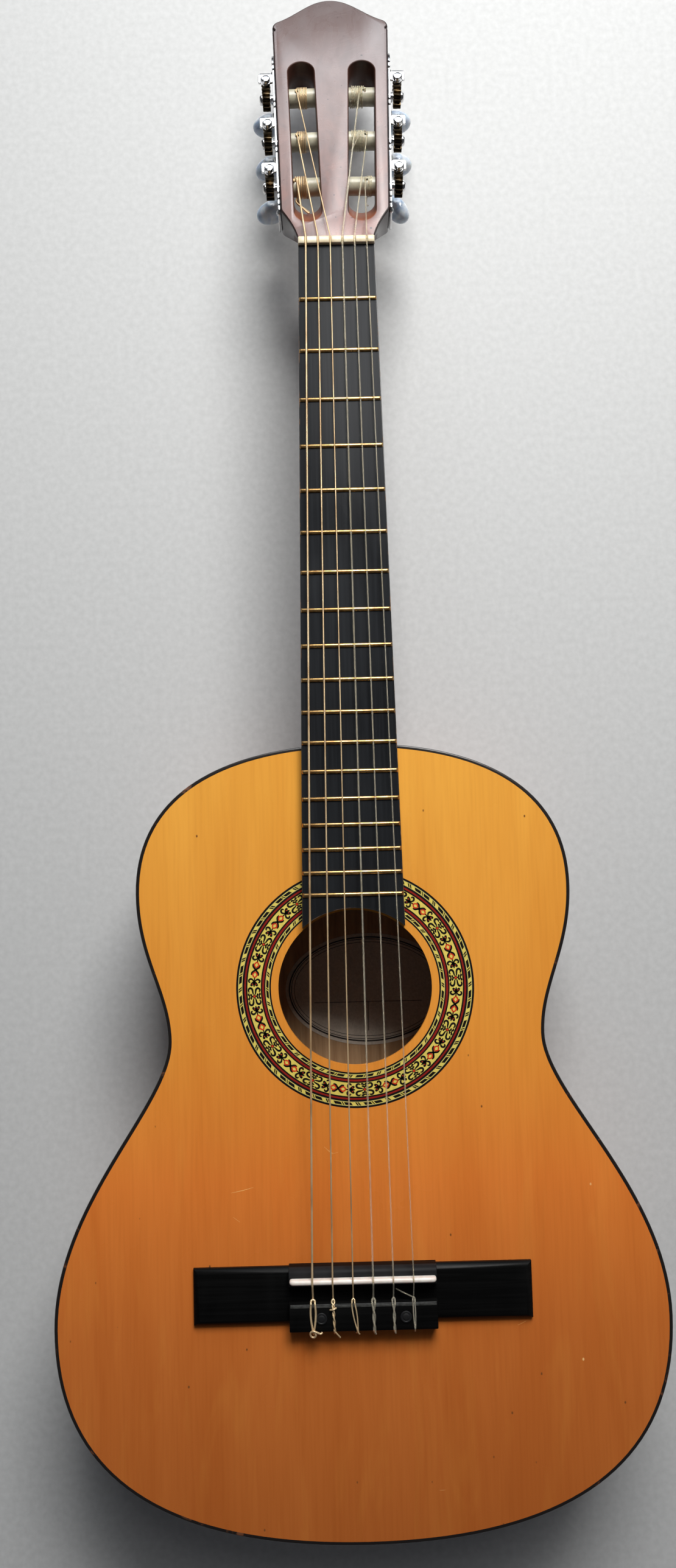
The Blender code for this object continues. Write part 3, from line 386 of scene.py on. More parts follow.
def nylon_finish():
    f = Finish("clear_nylon", roughness=0.08, transmission_weight=0.80, ior=1.22)
    haze = f.noise((200.0, 30.0, 200.0), 3.0)
    f.colour(f.ramp(haze, (0.3, (0.86, 0.79, 0.62)), (0.7, (0.96, 0.91, 0.78))))
    f.bump(haze, 0.01, 0.2)
    return f.material


def paper_finish():
    f = Finish("label_paper", roughness=0.85)
    fibre = f.noise((900.0, 700.0, 900.0), 4.0)
    cloud = f.noise(even(30.0), 3.0)
    tint = f.ramp(fibre, (0.35, (0.66, 0.56, 0.45)), (0.7, (0.80, 0.69, 0.57)))
    f.colour(f.mix(f.span(cloud, 0.5, 0.8, 0.0, 0.4), tint, (0.52, 0.42, 0.31)))
    f.bump(fibre, 0.02, 0.5)
    return f.material


def floor_finish():
    f = Finish("pale_floor", roughness=0.55, specular_ior_level=0.3)
    grit = f.noise((260.0, 260.0, 1.0), 3.0)
    f.colour(f.ramp(grit, (0.3, (0.54, 0.545, 0.545)), (0.7, (0.60, 0.605, 0.605))))
    f.bump(grit, 0.15, 0.12)
    return f.material


SPRUCE = spruce_finish()
BODY_WOOD = stained_finish("body_stain", (0.27, 0.085, 0.035), (0.12, 0.032, 0.014),
                           (9.0, 9.0, 260.0))
BACK_WOOD = stained_finish("back_stain", (0.27, 0.085, 0.035), (0.12, 0.032, 0.014),
                           (240.0, 8.0, 60.0))
NECK_WOOD = stained_finish("neck_stain", (0.22, 0.105, 0.080), (0.12, 0.050, 0.040),
                           (60.0, 9.0, 60.0), 0.24, 0.7)
FACE_WOOD = face_finish()
EAR_WOOD = stained_finish("neck_edge_stain", (0.045, 0.018, 0.016), (0.018, 0.007, 0.007),
                          (190.0, 9.0, 190.0), 0.3, 0.4)
# Painted shade: a near-black matte finish on the headstock's rounded front rim, standing in for the
# dark its rounding shows.
RIM_PAINTED_SHADE = inlay_finish("neck_rim_painted_shade", (0.018, 0.007, 0.006), 0.3)
# The slots' dark stain, which on their rounded rims is also painted shade
SLOT_STAIN_AND_RIM_SHADE = stained_finish("slot_stain_and_rim_shade", (0.075, 0.028, 0.018), (0.028, 0.011, 0.008),
                           (60.0, 60.0, 240.0), 0.5, 0.1)
SLOT_END = stained_finish("slot_end_stain", (0.24, 0.068, 0.028), (0.10, 0.028, 0.014),
                          (60.0, 60.0, 240.0), 0.4, 0.2)
RAW_WOOD = raw_wood_finish()
BINDING = worn_edge_finish("binding_strip", (0.012, 0.009, 0.008), (0.10, 0.035, 0.014), 0.60)
BOARD_WOOD = ebonised_finish("board_ebony", (0.015, 0.016, 0.018), (0.022, 0.024, 0.027), 0.30,
                             (700.0, 14.0, 300.0))
BOARD_EDGE = worn_edge_finish("board_edge", (0.030, 0.028, 0.026), (0.14, 0.075, 0.04), 0.53)
BRIDGE_WOOD = ebonised_finish("bridge_ebony", (0.003, 0.003, 0.003), (0.006, 0.006, 0.006),
                              0.30)
# Painted sheen: the bead in front of the saddle is a lighter grey than the rest of the black bridge
BEAD_EBONY_AND_PAINTED_SHEEN = ebonised_finish("bridge_bead_ebony_and_painted_sheen", (0.013, 0.013, 0.014),
                               (0.020, 0.020, 0.021), 0.40)
STRIP_GREY = inlay_finish("tie_strip", (0.050, 0.050, 0.047), 0.5)
CAP_BLACK = plastic_finish("cap_plastic", (0.005, 0.005, 0.006), (0.003, 0.003, 0.003), 0.55)
FRET_METAL = metal_finish("fret_brass", (0.80, 0.50, 0.20), (0.34, 0.19, 0.07), 0.24)
NUT_PLASTIC = plastic_finish("nut_plastic", (0.83, 0.74, 0.54), (0.66, 0.52, 0.32), 0.3)
SADDLE_PLASTIC = plastic_finish("saddle_plastic", (0.86, 0.82, 0.76), (0.72, 0.60, 0.53), 0.3)
ROLLER_PLASTIC = plastic_finish("roller_plastic", (0.52, 0.49, 0.38), (0.34, 0.31, 0.22), 0.28)
CHROME = metal_finish("chrome", (0.82, 0.82, 0.84), (0.56, 0.54, 0.52), 0.08, 90.0)
WORM_METAL = metal_finish("worm_metal", (0.16, 0.13, 0.09), (0.04, 0.033, 0.026), 0.3)
GEAR_METAL = metal_finish("gear_brass", (0.10, 0.072, 0.040), (0.016, 0.013, 0.010), 0.24)
PEARL = pearl_finish()
NYLON = nylon_finish()
WOUND = wound_finish()
TRUE_BLACK = inlay_finish("inlay_black", (0.008, 0.007, 0.007), 0.3)
YELLOW = inlay_finish("inlay_yellow", (0.78, 0.63, 0.13), 0.10)
PALE = inlay_finish("inlay_pale", (0.46, 0.44, 0.20), 0.08)
RED = inlay_finish("inlay_red", (0.29, 0.017, 0.012), 0.14)
FLAME = inlay_finish("inlay_flame", (0.66, 0.045, 0.015), 0.12)
SCRATCH_TONE = inlay_finish("scratched_varnish", (0.95, 0.50, 0.16), 0.1)
PAPER = paper_finish()
PRINT = inlay_finish("label_print", (0.04, 0.032, 0.03), 0.2)


# ---------------------------------------------------------------------- mesh helpers

def shift(x, y, z):
    """A move given in millimetres."""
    return Matrix.Translation((x * MM, y * MM, z * MM))


def spin(axis, degrees):
    return Matrix.Rotation(math.radians(degrees), 4, axis)


def linked(name, data):
    """A new object in the scene."""
    made = bpy.data.objects.new(name, data)
    bpy.context.scene.collection.objects.link(made)
    return made


def object_of(name, work):
    """An object in metres from a bmesh in millimetres, which is used up."""
    bmesh.ops.scale(work, vec=(MM, MM, MM), verts=work.verts)
    bmesh.ops.recalc_face_normals(work, faces=work.faces)
    mesh = bpy.data.meshes.new(name)
    work.to_mesh(mesh)
    work.free()
    return linked(name, mesh)


def settle(obj):
    """Apply an object's modifiers, or turn a curve into a mesh, and clean the result."""
    graph = bpy.context.evaluated_depsgraph_get()
    mesh = bpy.data.meshes.new_from_object(obj.evaluated_get(graph))
    work = bmesh.new()
    work.from_mesh(mesh)
    bmesh.ops.remove_doubles(work, verts=work.verts, dist=1e-6)
    bmesh.ops.dissolve_degenerate(work, dist=1e-7, edges=work.edges)
    bmesh.ops.recalc_face_normals(work, faces=work.faces)
    work.to_mesh(mesh)
    work.free()
    name = obj.name
    matrix = obj.matrix_world.copy()
    bpy.data.objects.remove(obj)
    made = linked(name, mesh)
    made.matrix_world = matrix
    return made


def plate(name, outlines, low, high, rim=0.0, segments=2):
    """A plate between two heights with rounded rims; the first outline is its edge and
    the rest are holes."""
    curve = bpy.data.curves.new(name, "CURVE")
    curve.dimensions = "2D"
    curve.fill_mode = "BOTH"
    curve.extrude = (0.5 * (high - low) - rim) * MM
    curve.bevel_depth = rim * MM
    curve.bevel_resolution = segments
    curve.offset = -rim * MM
    for outline in outlines:
        add_spline(curve, outline, True)
    made = settle(linked(name, curve))
    made.data.transform(shift(0.0, 0.0, 0.5 * (low + high)))
    return made


def add_spline(curve, points, cyclic):
    spline = curve.splines.new("POLY")
    spline.points.add(len(points) - 1)
    for target, point in zip(spline.points, points):
        target.co = (*(MM * Vector(point).to_3d()), 1.0)
    spline.use_cyclic_u = cyclic


def tube(name, lines, radius, sides):
    """Round bars along lines of points, with closed ends."""
    curve = bpy.data.curves.new(name, "CURVE")
    curve.dimensions = "3D"
    curve.bevel_depth = radius * MM
    curve.bevel_resolution = sides // 2 - 2
    curve.use_fill_caps = True
    for points in lines:
        add_spline(curve, points, False)
    return settle(linked(name, curve))


def add_skin(work, rings, closed=False):
    """Faces through rings of equally many points, capped unless the rings close up."""
    rows = [[work.verts.new(point) for point in ring] for ring in rings]
    if closed:
        rows.append(rows[0])
    for row, following in zip(rows, rows[1:]):
        for index, vertex in enumerate(row):
            after = (index + 1) % len(row)
            work.faces.new((vertex, row[after], following[after], following[index]))
    if not closed:
        work.faces.new(rows[0])
        work.faces.new(rows[-1])


def loft(name, rings, closed=False):
    work = bmesh.new()
    add_skin(work, rings, closed)
    return object_of(name, work)


def box(name, low, high, rim=0.0, segments=2):
    low, high = Vector(low), Vector(high)
    work = bmesh.new()
    bmesh.ops.create_cube(work, size=1.0)
    bmesh.ops.scale(work, vec=high - low, verts=work.verts)
    bmesh.ops.translate(work, vec=0.5 * (low + high), verts=work.verts)
    made = object_of(name, work)
    if rim:
        bevel = made.modifiers.new("bevel", "BEVEL")
        bevel.width = rim * MM
        bevel.segments = segments
        bevel.limit_method = "ANGLE"
        bevel.angle_limit = math.radians(40.0)
        bevel.harden_normals = False
    return made


def turned(name, profile, sides=32):
    """A solid turned about the local Z axis; profile holds (radius, z)."""
    return loft(name, [[(*p, z) for p in circle((0.0, 0.0), radius, sides)]
                       for radius, z in profile])


def boolean(obj, other, operation="DIFFERENCE"):
    """Cut or join with another object, which is used up."""
    modifier = obj.modifiers.new("boolean", "BOOLEAN")
    modifier.operation = operation
    modifier.object = other
    modifier.solver = "EXACT"
    made = settle(obj)
    bpy.data.objects.remove(other)
    return made


def joined(name, objects):
    """Several objects' meshes as one object."""
    work = bmesh.new()
    for obj in objects:
        graph = bpy.context.evaluated_depsgraph_get()
        mesh = bpy.data.meshes.new_from_object(obj.evaluated_get(graph))
        mesh.transform(obj.matrix_world)
        work.from_mesh(mesh)
        bpy.data.objects.remove(obj)
    mesh = bpy.data.meshes.new(name)
    work.to_mesh(mesh)
    work.free()
    return linked(name, mesh)


def dress(obj, material, body="guitar", smooth=35.0, stands_for=(), matrix=None):
    """Finish a piece: its place, finish, shading, body and what it stands for."""
    if matrix is not None:
        obj.data.transform(matrix)
    if obj.modifiers:
        obj = settle(obj)
    obj.data.materials.clear()
    obj.data.materials.append(material)
    if smooth:
        obj.data.shade_smooth()
        obj.data.set_sharp_from_angle(angle=math.radians(smooth))
    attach(obj, body)
    if stands_for:
        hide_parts(*stands_for)
    return obj


def paint_faces(obj, material, test):
    """Give a second finish to the faces whose centre and normal pass a test."""
    obj.data.materials.append(material)
    index = len(obj.data.materials) - 1
    for face in obj.data.polygons:
        if test(face.center / MM, face.normal):
            face.material_index = index


# --------------------------------------------------------------------- shared outlines

def squared(value, power):
    """A sine or cosine drawn out, so that what it traces is fuller than an ellipse."""
    return math.copysign(abs(value) ** power, value)


def bezier(start, handle_a, handle_b, end, steps):
    """Points of a cubic curve, without its last point."""
    points = []
    for step in range(steps):
        t = step / steps
        s = 1.0 - t
        points.append(s ** 3 * start + 3 * s * s * t * handle_a
                      + 3 * s * t * t * handle_b + t ** 3 * end)
    return points


def smooth_line(knots, steps=6):
    """A Catmull-Rom curve through knots."""
    knots = [Vector(knot) for knot in knots]
    ends = [2 * knots[0] - knots[1]] + knots + [2 * knots[-1] - knots[-2]]
    points = []
    for index in range(1, len(ends) - 2):
        a, b, c, d = ends[index - 1:index + 3]
        for step in range(steps):
            t = step / steps
            points.append(0.5 * (2 * b + (c - a) * t + (2 * a - 5 * b + 4 * c - d) * t * t
                                 + (3 * b - a - 3 * c + d) * t ** 3))
    return points + [knots[-1]]


def body_half():
    top = Vector((0.0, BODY_TOP_Y))
    tail = Vector((0.0, BODY_END_Y))
    curves = [
        (top, top + Vector((70.8, 0)), UPPER_BOUT + Vector((0, 57.4)), UPPER_BOUT),
        (UPPER_BOUT, UPPER_BOUT - Vector((0, 36.2)), WAIST + Vector((0, 26.8)), WAIST),
        (WAIST, WAIST - Vector((0, 34.1)), LOWER_BOUT + Vector((0, 67.4)), LOWER_BOUT),
        (LOWER_BOUT, LOWER_BOUT - Vector((0, 78.6)), tail + Vector((109.1, 0)), tail),
    ]
    points = []
    for curve in curves:
        points.extend(bezier(*curve, 36))
    return points + [tail]


def mirrored(half):
    """A closed outline from its +X half, which starts and ends on the centre line."""
    return half + [Vector((-point.x, point.y)) for point in reversed(half[1:-1])]


def inset(outline, distance):
    """Move a clockwise closed outline inwards by a distance."""
    moved = []
    count = len(outline)
    for index, point in enumerate(outline):
        along = outline[(index + 1) % count] - outline[index - 1]
        inward = Vector((along.y, -along.x)).normalized()
        moved.append(point + distance * inward)
    return moved


def arc(centre, radius, start, end, steps):
    """Points on a circle between two angles, both ends included."""
    points = []
    for step in range(steps + 1):
        angle = start + (end - start) * step / steps
        points.append(Vector((centre[0] + radius * math.cos(angle),
                              centre[1] + radius * math.sin(angle))))
    return points


def circle(centre, radius, steps=128):
    return arc(centre, radius, 0.0, 2.0 * math.pi, steps)[:-1]


def ring_of(outline, profile):
    """Rings of a profile of (inset, height) swept round an outline."""
    rings = []
    for distance, height in profile:
        ring = inset(outline, distance) if distance else outline
        rings.append([Vector((p.x, p.y, height)) for p in ring])
    return rings


OUTLINE = mirrored(body_half())
HOLE = (0.0, HOLE_Y)


def fret_y(number):
    return SCALE_LENGTH * 2.0 ** (-number / 12.0)


def board_half(y):
    return NUT_HALF + (SCALE_LENGTH - y) * BOARD_TAPER


def string_share(number):
    """Place of a string across the neck: -1 for the lowest, +1 for the highest."""
    middle = 0.5 * (STRING_COUNT + 1)
    return (middle - number) / (middle - 1.0)


# ---------------------------------------------------------------------- the soundbox

# The clearance between neighbouring pieces
GAP = 0.05
INSIDE_LOW = PLATE_THICK + 0.1
INSIDE_TOP = BODY_DEPTH - PLATE_THICK - 0.2
GROOVE_DEPTH = 1.2
BINDING_PROFILE = [(0.0, BODY_DEPTH - BINDING_HEIGHT), (0.0, BODY_DEPTH - 0.9),
                   (0.12, BODY_DEPTH - 0.45), (0.4, BODY_DEPTH - 0.12), (0.85, BODY_DEPTH),
                   (SIDE_THICK, BODY_DEPTH), (SIDE_THICK, BODY_DEPTH - BINDING_HEIGHT)]
LINING_TOP = INSIDE_TOP + 0.1
LINING_PROFILE = [(BOARD_INSET, 72.2), (BOARD_INSET, LINING_TOP), (BOARD_INSET + 6.0, LINING_TOP),
                  (BOARD_INSET + 6.0, 80.0), (BOARD_INSET + 2.5, 72.2)]
TAIL_BLOCK_HALF = 34.0
TAIL_BLOCK_LENGTH = 20.0
INSIDE_CENTRE = Vector((0.0, 70.0, 40.0))
# Cross bars as (place along the body, half their length), then their heights
TOP_BARS = [(96.0, 92.0), (212.0, 92.0)]
BACK_BARS = [(228.0, 96.0), (60.0, 108.0), (-60.0, 146.0)]
TOP_BAR_HEIGHT = 13.0
BACK_BAR_HEIGHT = 11.0
BAR_HALF = 3.5
STRUT_HALF = 2.5
STRUT_HEIGHT = 4.0
STRUT_ENDS = (-98.0, 80.0)
FAN_STEP = 26.0
FAN_LEAN = -4.5
# The border's lines, as distances in from the label's edge, and two ruled lines
LABEL_BORDER = [(2.0, 2.9), (3.5, 3.9), (5.4, 5.7)]
LABEL_RULES = [((-34.0, -8.2), (34.0, -7.9)), ((-0.2, -26.0), (0.2, -8.0))]


def build_soundbox():
    edge = inset(OUTLINE, BOARD_INSET)
    board = plate("soundboard_top", [edge, circle(HOLE, HOLE_RADIUS)],
                  BODY_DEPTH - PLATE_THICK, BODY_DEPTH)
    groove = plate("groove", [circle(HOLE, ROSETTE_OUTER + GAP), circle(HOLE, ROSETTE_INNER - GAP)],
                   BODY_DEPTH - GROOVE_DEPTH, BODY_DEPTH + 1.0)
    board = boolean(board, groove)
    dress(board, SPRUCE, stands_for=["soundboard"])
    paint_faces(board, RAW_WOOD, lambda c, n: c.z < BODY_DEPTH - PLATE_THICK + 0.1)

    back = plate("back", [OUTLINE], 0.0, PLATE_THICK, 0.5)
    dress(back, BACK_WOOD, stands_for=["back_plate"])
    paint_faces(back, RAW_WOOD, lambda c, n: n.z > 0.9)

    dress(loft("binding", ring_of(OUTLINE, BINDING_PROFILE), closed=True), BINDING,
          stands_for=["top_binding"])
    build_side("treble_side", 1.0)
    build_side("bass_side", -1.0)
    dress(loft("lining", ring_of(OUTLINE, LINING_PROFILE), closed=True), RAW_WOOD,
          stands_for=["top_lining"])
    block = [p for p in inset(OUTLINE, SIDE_THICK + 0.1)
             if abs(p.x) < TAIL_BLOCK_HALF and p.y < 0.0]
    block += [Vector((-TAIL_BLOCK_HALF, BODY_END_Y + TAIL_BLOCK_LENGTH)),
              Vector((TAIL_BLOCK_HALF, BODY_END_Y + TAIL_BLOCK_LENGTH))]
    dress(plate("end_block", [block], INSIDE_LOW, INSIDE_TOP, 0.6), RAW_WOOD,
          stands_for=["tail_block"])
    build_braces()
    build_label()


def build_side(name, sign):
    """A bent side: a wall along half the outline, up to the joint at the tail."""
    low, high = PLATE_THICK + GAP, BODY_DEPTH - BINDING_HEIGHT - GAP
    joint = (Vector((0.02, BODY_END_Y)), Vector((0.02, BODY_END_Y + SIDE_THICK)))
    pairs = list(zip(OUTLINE, inset(OUTLINE, SIDE_THICK)))
    rings = []
    for outer, inner in pairs[3:len(pairs) // 2] + [joint]:
        rings.append([(sign * p.x, p.y, z) for p, z in
                      ((outer, low), (outer, high), (inner, high), (inner, low))])
    wall = dress(loft(name + "_wall", rings), BODY_WOOD, stands_for=[name])
    paint_faces(wall, RAW_WOOD, lambda c, n: n.dot((INSIDE_CENTRE - c).normalized()) > 0.2)


def cross_bars(places, low, high, rim):
    return [box("bar", (-half, y - BAR_HALF, low), (half, y + BAR_HALF, high), rim)
            for y, half in places]


def build_braces():
    """Two bars and a fan of five struts under the soundboard, three bars on the back."""
    top = BODY_DEPTH - PLATE_THICK - 0.02
    bars = cross_bars(TOP_BARS, top - TOP_BAR_HEIGHT, top, 1.2)
    for index in range(-2, 3):
        strut = box("strut", (-STRUT_HALF, STRUT_ENDS[0], top - STRUT_HEIGHT),
                    (STRUT_HALF, STRUT_ENDS[1], top), 1.0)
        strut.data.transform(spin("Z", FAN_LEAN * index) @ shift(FAN_STEP * index, 0.0, 0.0))
        bars.append(strut)
    dress(joined("soundboard_braces", bars), RAW_WOOD)
    low = PLATE_THICK + 0.02
    bars = cross_bars(BACK_BARS, low, low + BACK_BAR_HEIGHT, 1.5)
    dress(joined("back_braces", bars), RAW_WOOD)


def label_oval(inward):
    return [LABEL_CENTRE + Vector(((LABEL_HALF.x - inward) * p.x, (LABEL_HALF.y - inward) * p.y))
            for p in circle((0.0, 0.0), 1.0, 96)]


def build_label():
    """A plain oval paper with a printed border and two rules."""
    low = PLATE_THICK + GAP
    ink_low, ink_top = low + 0.2, low + 0.28
    dress(plate("label", [label_oval(0.0)], low, low + 0.25), PAPER,
          stands_for=["paper_label"])
    lines = [plate("line", [label_oval(outside), label_oval(inside)], ink_low, ink_top)
             for outside, inside in LABEL_BORDER]
    for start, end in LABEL_RULES:
        lines.append(box("rule", (*(LABEL_CENTRE + Vector(start)), ink_low),
                         (*(LABEL_CENTRE + Vector(end)), ink_top)))
    dress(joined("label_border", lines), PRINT)


# ----------------------------------------------------------------------- the rosette

BAND_CENTRE = 56.29
REPEATS = 12
FIRST_REPEAT = 0.13
YELLOW_BANDS = [(47.8, 50.05), (52.6, 60.0), (62.8, 65.2)]
PALE_LINES = [(47.8, 47.98), (49.87, 50.05), (62.8, 63.0), (65.0, 65.2)]
RED_BANDS = [(50.75, 51.8), (60.85, 61.75)]
# The borders: middle radius, half the marks' height, how many repeats, how far marks lean
BORDERS = [(48.93, 0.62, 19, -0.5), (64.0, 0.72, 24, 0.55)]
# The strokes' knots, as mm round and out from the middle of a repeat, and their widths
SCROLLS = [
    ([(1.0, 0.5), (2.3, 0.75), (3.7, 1.0), (4.55, 1.85), (4.2, 2.85), (3.2, 3.15), (2.3, 2.7)],
     0.95),
    ([(0.0, 1.25), (0.7, 1.75), (1.6, 1.9)], 0.8),
    ([(0.0, 2.6), (0.6, 2.75), (1.2, 3.2), (1.9, 2.8)], 0.85),
    ([(8.2, 0.1), (7.3, 0.8), (6.4, 1.4), (5.7, 1.8)], 1.3),
    ([(8.2, 0.2), (9.1, 1.0), (9.5, 2.0), (8.85, 3.0), (7.9, 2.9), (7.6, 2.2)], 0.9),
    ([(11.6, 1.9), (12.8, 1.7), (13.8, 0.85), (14.9, 0.0)], 1.1),
]
STEMS = [
    ([(8.7, 0.0), (7.4, 0.0), (6.3, 0.0), (5.3, 0.0)], 1.05),
    ([(8.2, 0.0), (9.4, 0.0), (10.6, 0.0)], 0.7),
]
STROKE_BOLDNESS = 1.2
FLAME_EDGE = [(10.3, 0.0), (11.2, 0.85), (12.1, 1.3), (13.0, 0.7), (13.6, 0.05)]
FLAME_WIDTHS = [0.6, 0.8, 0.8, 0.7, 0.5]
DOT_CENTRE = Vector((6.75, 0.98))
DOT_RADIUS = 0.3
INLAY_LOW = BODY_DEPTH - 0.1
INLAY_TOP = BODY_DEPTH + 0.06
# Light scratches in the varnish, as lines in plan
SCRATCHES = [[(-19.4, 66.8), (-16.5, 64.1), (-14.1, 63.0)], [(-16.7, 65.0), (-14.8, 62.6)],
             [(-15.6, 62.9), (-11.8, 63.5)], [(-70.9, 43.1), (-64.8, 44.3), (-58.8, 45.8)],
             [(-70.1, 30.1), (-66.5, 27.4)], [(84.0, -31.0), (88.5, -29.0)]]


def polar(s, t, turn, middle=BAND_CENTRE):
    """A point t mm out from a band's middle and s mm round from the angle turn."""
    angle = turn + s / middle
    radius = middle + t
    return Vector((radius * math.cos(angle), HOLE_Y + radius * math.sin(angle)))


def add_ribbon(work, points, widths, low, high):
    """A flat strip with pointed ends along a line."""
    rings = []
    for index, point in enumerate(points):
        before = points[max(index - 1, 0)]
        after = points[min(index + 1, len(points) - 1)]
        along = (after - before).normalized()
        across = Vector((-along.y, along.x)) * 0.5 * widths[index]
        left, right = point + across, point - across
        rings.append([(*left, high), (*right, high), (*right, low), (*left, low)])
    add_skin(work, rings)


def add_prism(work, points, low, high):
    add_skin(work, [[(*p, z) for p in points] for z in (high, low)])


def add_diamond(work, reach, tall, turn, high):
    add_prism(work, [polar(s, t, turn) for s, t in ((reach, 0), (0, tall), (-reach, 0), (0, -tall))],
              INLAY_LOW, high)


def bands(name, radii, high, material):
    parts = [plate(name + "_part", [circle(HOLE, outer, 180), circle(HOLE, inner, 180)],
                   BODY_DEPTH - 0.4, high) for inner, outer in radii]
    dress(joined(name, parts), material)


def add_scrolls(black, flame, turn, side, up):
    """A quarter of a repeat: its curls, its flame and its dot."""
    for knots, width in SCROLLS:
        line = [polar(side * p.x, up * p.y, turn) for p in smooth_line(knots, 3)]
        widths = []
        for index in range(len(line)):
            swell = math.sin(math.pi * (index + 0.6) / (len(line) + 0.2))
            widths.append(STROKE_BOLDNESS * width * (0.45 + 0.55 * swell))
        add_ribbon(black, line, widths, INLAY_LOW, INLAY_TOP)
    edge = [polar(side * s, up * t, turn) for s, t in FLAME_EDGE]
    add_ribbon(flame, edge, FLAME_WIDTHS, INLAY_LOW, INLAY_TOP + 0.01)
    dot = [polar(side * p.x, up * p.y, turn) for p in circle(DOT_CENTRE, DOT_RADIUS, 8)]
    add_prism(flame, dot, INLAY_LOW, INLAY_TOP + 0.012)


def add_border(work, middle, half, count, lean):
    """A border of two slanted marks and three ticks to each repeat."""
    step = 2.0 * math.pi * middle / count
    marks = [(0.325 * step, 2.0, half, lean), (0.675 * step, 2.0, half, lean)]
    marks += [(place, reach, 1.2 * half, 1.2 * lean)
              for place, reach in ((-0.62, 0.42), (0.62, 0.42), (0.5 * step, 0.33))]
    for repeat in range(count):
        turn = 2.0 * math.pi * repeat / count
        for centre, reach, tall, slant in marks:
            corners = [polar(centre + s * reach + t * slant, t * tall, turn, middle)
                       for s, t in ((-1, -1), (1, -1), (1, 1), (-1, 1))]
            add_prism(work, corners, INLAY_LOW, INLAY_TOP)


def build_rosette():
    base = plate("rosette_black", [circle(HOLE, ROSETTE_OUTER, 180),
                                   circle(HOLE, ROSETTE_INNER, 180)],
                 BODY_DEPTH - GROOVE_DEPTH + GAP, BODY_DEPTH)
    dress(base, TRUE_BLACK, stands_for=["rosette_ring"])
    bands("rosette_yellow", YELLOW_BANDS, BODY_DEPTH + 0.03, YELLOW)
    bands("rosette_pale_lines", PALE_LINES, BODY_DEPTH + 0.045, PALE)
    bands("rosette_red", RED_BANDS, BODY_DEPTH + 0.03, RED)

    black, flame = bmesh.new(), bmesh.new()
    for repeat in range(REPEATS):
        turn = 2.0 * math.pi * (repeat + FIRST_REPEAT) / REPEATS
        for side in (1.0, -1.0):
            for up in (1.0, -1.0):
                add_scrolls(black, flame, turn, side, up)
            for knots, width in STEMS:
                points = [polar(side * s, t, turn) for s, t in knots]
                widths = [0.4 * width, width, width, 0.5 * width]
                add_ribbon(black, points, widths, INLAY_LOW, INLAY_TOP)
        add_diamond(black, 1.25, 1.3, turn, INLAY_TOP)
        add_diamond(flame, 0.72, 0.78, turn, INLAY_TOP + 0.02)
    for border in BORDERS:
        add_border(black, *border)
    dress(object_of("rosette_scrolls", black), TRUE_BLACK, smooth=0)
    dress(object_of("rosette_flames", flame), FLAME, smooth=0)


def build_scratches():
    work = bmesh.new()
    for knots in SCRATCHES:
        points = [Vector(knot) for knot in knots]
        widths = [0.12] + [0.30] * (len(points) - 2) + [0.12]
        add_ribbon(work, points, widths, BODY_DEPTH - 0.1, BODY_DEPTH + 0.012)
    dress(object_of("varnish_scratches", work), SCRATCH_TONE, smooth=0)


# --------------------------------------------------------------------------- the neck

HEAD = Matrix.Translation(HEAD_ORIGIN * MM) @ Matrix.Rotation(-HEAD_TILT, 4, "X")
# The neck's depth at the nut, and how much more it has at the body
NECK_DEPTH = 14.0
NECK_GROWTH = 2.5
# The heel at the back, and how much wider and longer it is under the fingerboard
HEEL_HALF = 11.0
HEEL_SPREAD = 14.6
HEEL_REACH = 14.0
HEEL_SWEEP = 46.0
NECK_STATIONS = [BODY_TOP_Y + 0.1, 330.0, 400.0, 470.0, 540.0, SCALE_LENGTH - 6.0]
# Behind the nut: place, drop of the neck's top, its depth and half its width
NECK_END = [(590.0, 0.5, 16.2, 19.0), (597.0, 2.0, 17.6, 15.5), (604.0, 3.8, 18.0, 11.0)]
FOOT_HALF = 27.0
FOOT_START_Y = 260.0
WEB_HALF = 11.6
WEB_TOP = 81.7
# The head's outline is this far in at each depth under its face
HEAD_RIMS = [(1.0, 0.0), (0.35, 0.25), (0.0, 0.9), (0.0, 10.0), (0.0, HEAD_THICK - 1.2),
             (0.35, HEAD_THICK - 0.35), (1.2, HEAD_THICK)]
# A slot is this much wider on each side at each height over the face
SLOT_RIMS = [(1.7, 1.0), (0.85, 0.1), (0.3, -0.25), (0.0, -0.9), (0.0, -18.3), (0.5, -18.9),
             (1.6, -20.5)]
# Two directions whose dot product is over this are taken as the same
FACING = 0.975
SLOPING = 0.15
# How deep under the face the front rim's painted shade reaches
RIM_DEPTH = 0.85


def side_frame(sign):
    """The frame of one side of the headstock; its X axis is +X turned by the splay."""
    corner = Matrix.Translation((sign * HEAD_SHOULDER.x * MM, HEAD_SHOULDER.y * MM, 0.0))
    return HEAD @ corner @ Matrix.Rotation(-sign * SPLAY, 4, "Z")


def neck_ring(y, top=BODY_DEPTH, depth=None, half=None):
    """The neck's section: a flat top and a rounded back."""
    share = (SCALE_LENGTH - y) / (SCALE_LENGTH - BODY_TOP_Y)
    half = board_half(y) - 0.1 if half is None else half
    depth = NECK_DEPTH + share * NECK_GROWTH if depth is None else depth
    points = []
    for step in range(37):
        angle = math.pi * step / 36
        points.append(Vector((half * squared(math.cos(angle), 0.85), y,
                              top - depth * math.sin(angle) ** 0.9)))
    return points


def heel_ring(z):
    """The heel's section at a height: flat against the sides, pointed to the nut."""
    share = z / (BODY_DEPTH - 10.0)
    half = HEEL_HALF + HEEL_SPREAD * share ** 0.8
    reach = HEEL_REACH + HEEL_SWEEP * share ** 2.4
    points = []
    for step in range(41):
        angle = math.pi * step / 40
        points.append(Vector((half * math.cos(angle),
                              BODY_TOP_Y + 0.1 + reach * math.sin(angle) ** 0.9, z)))
    return points


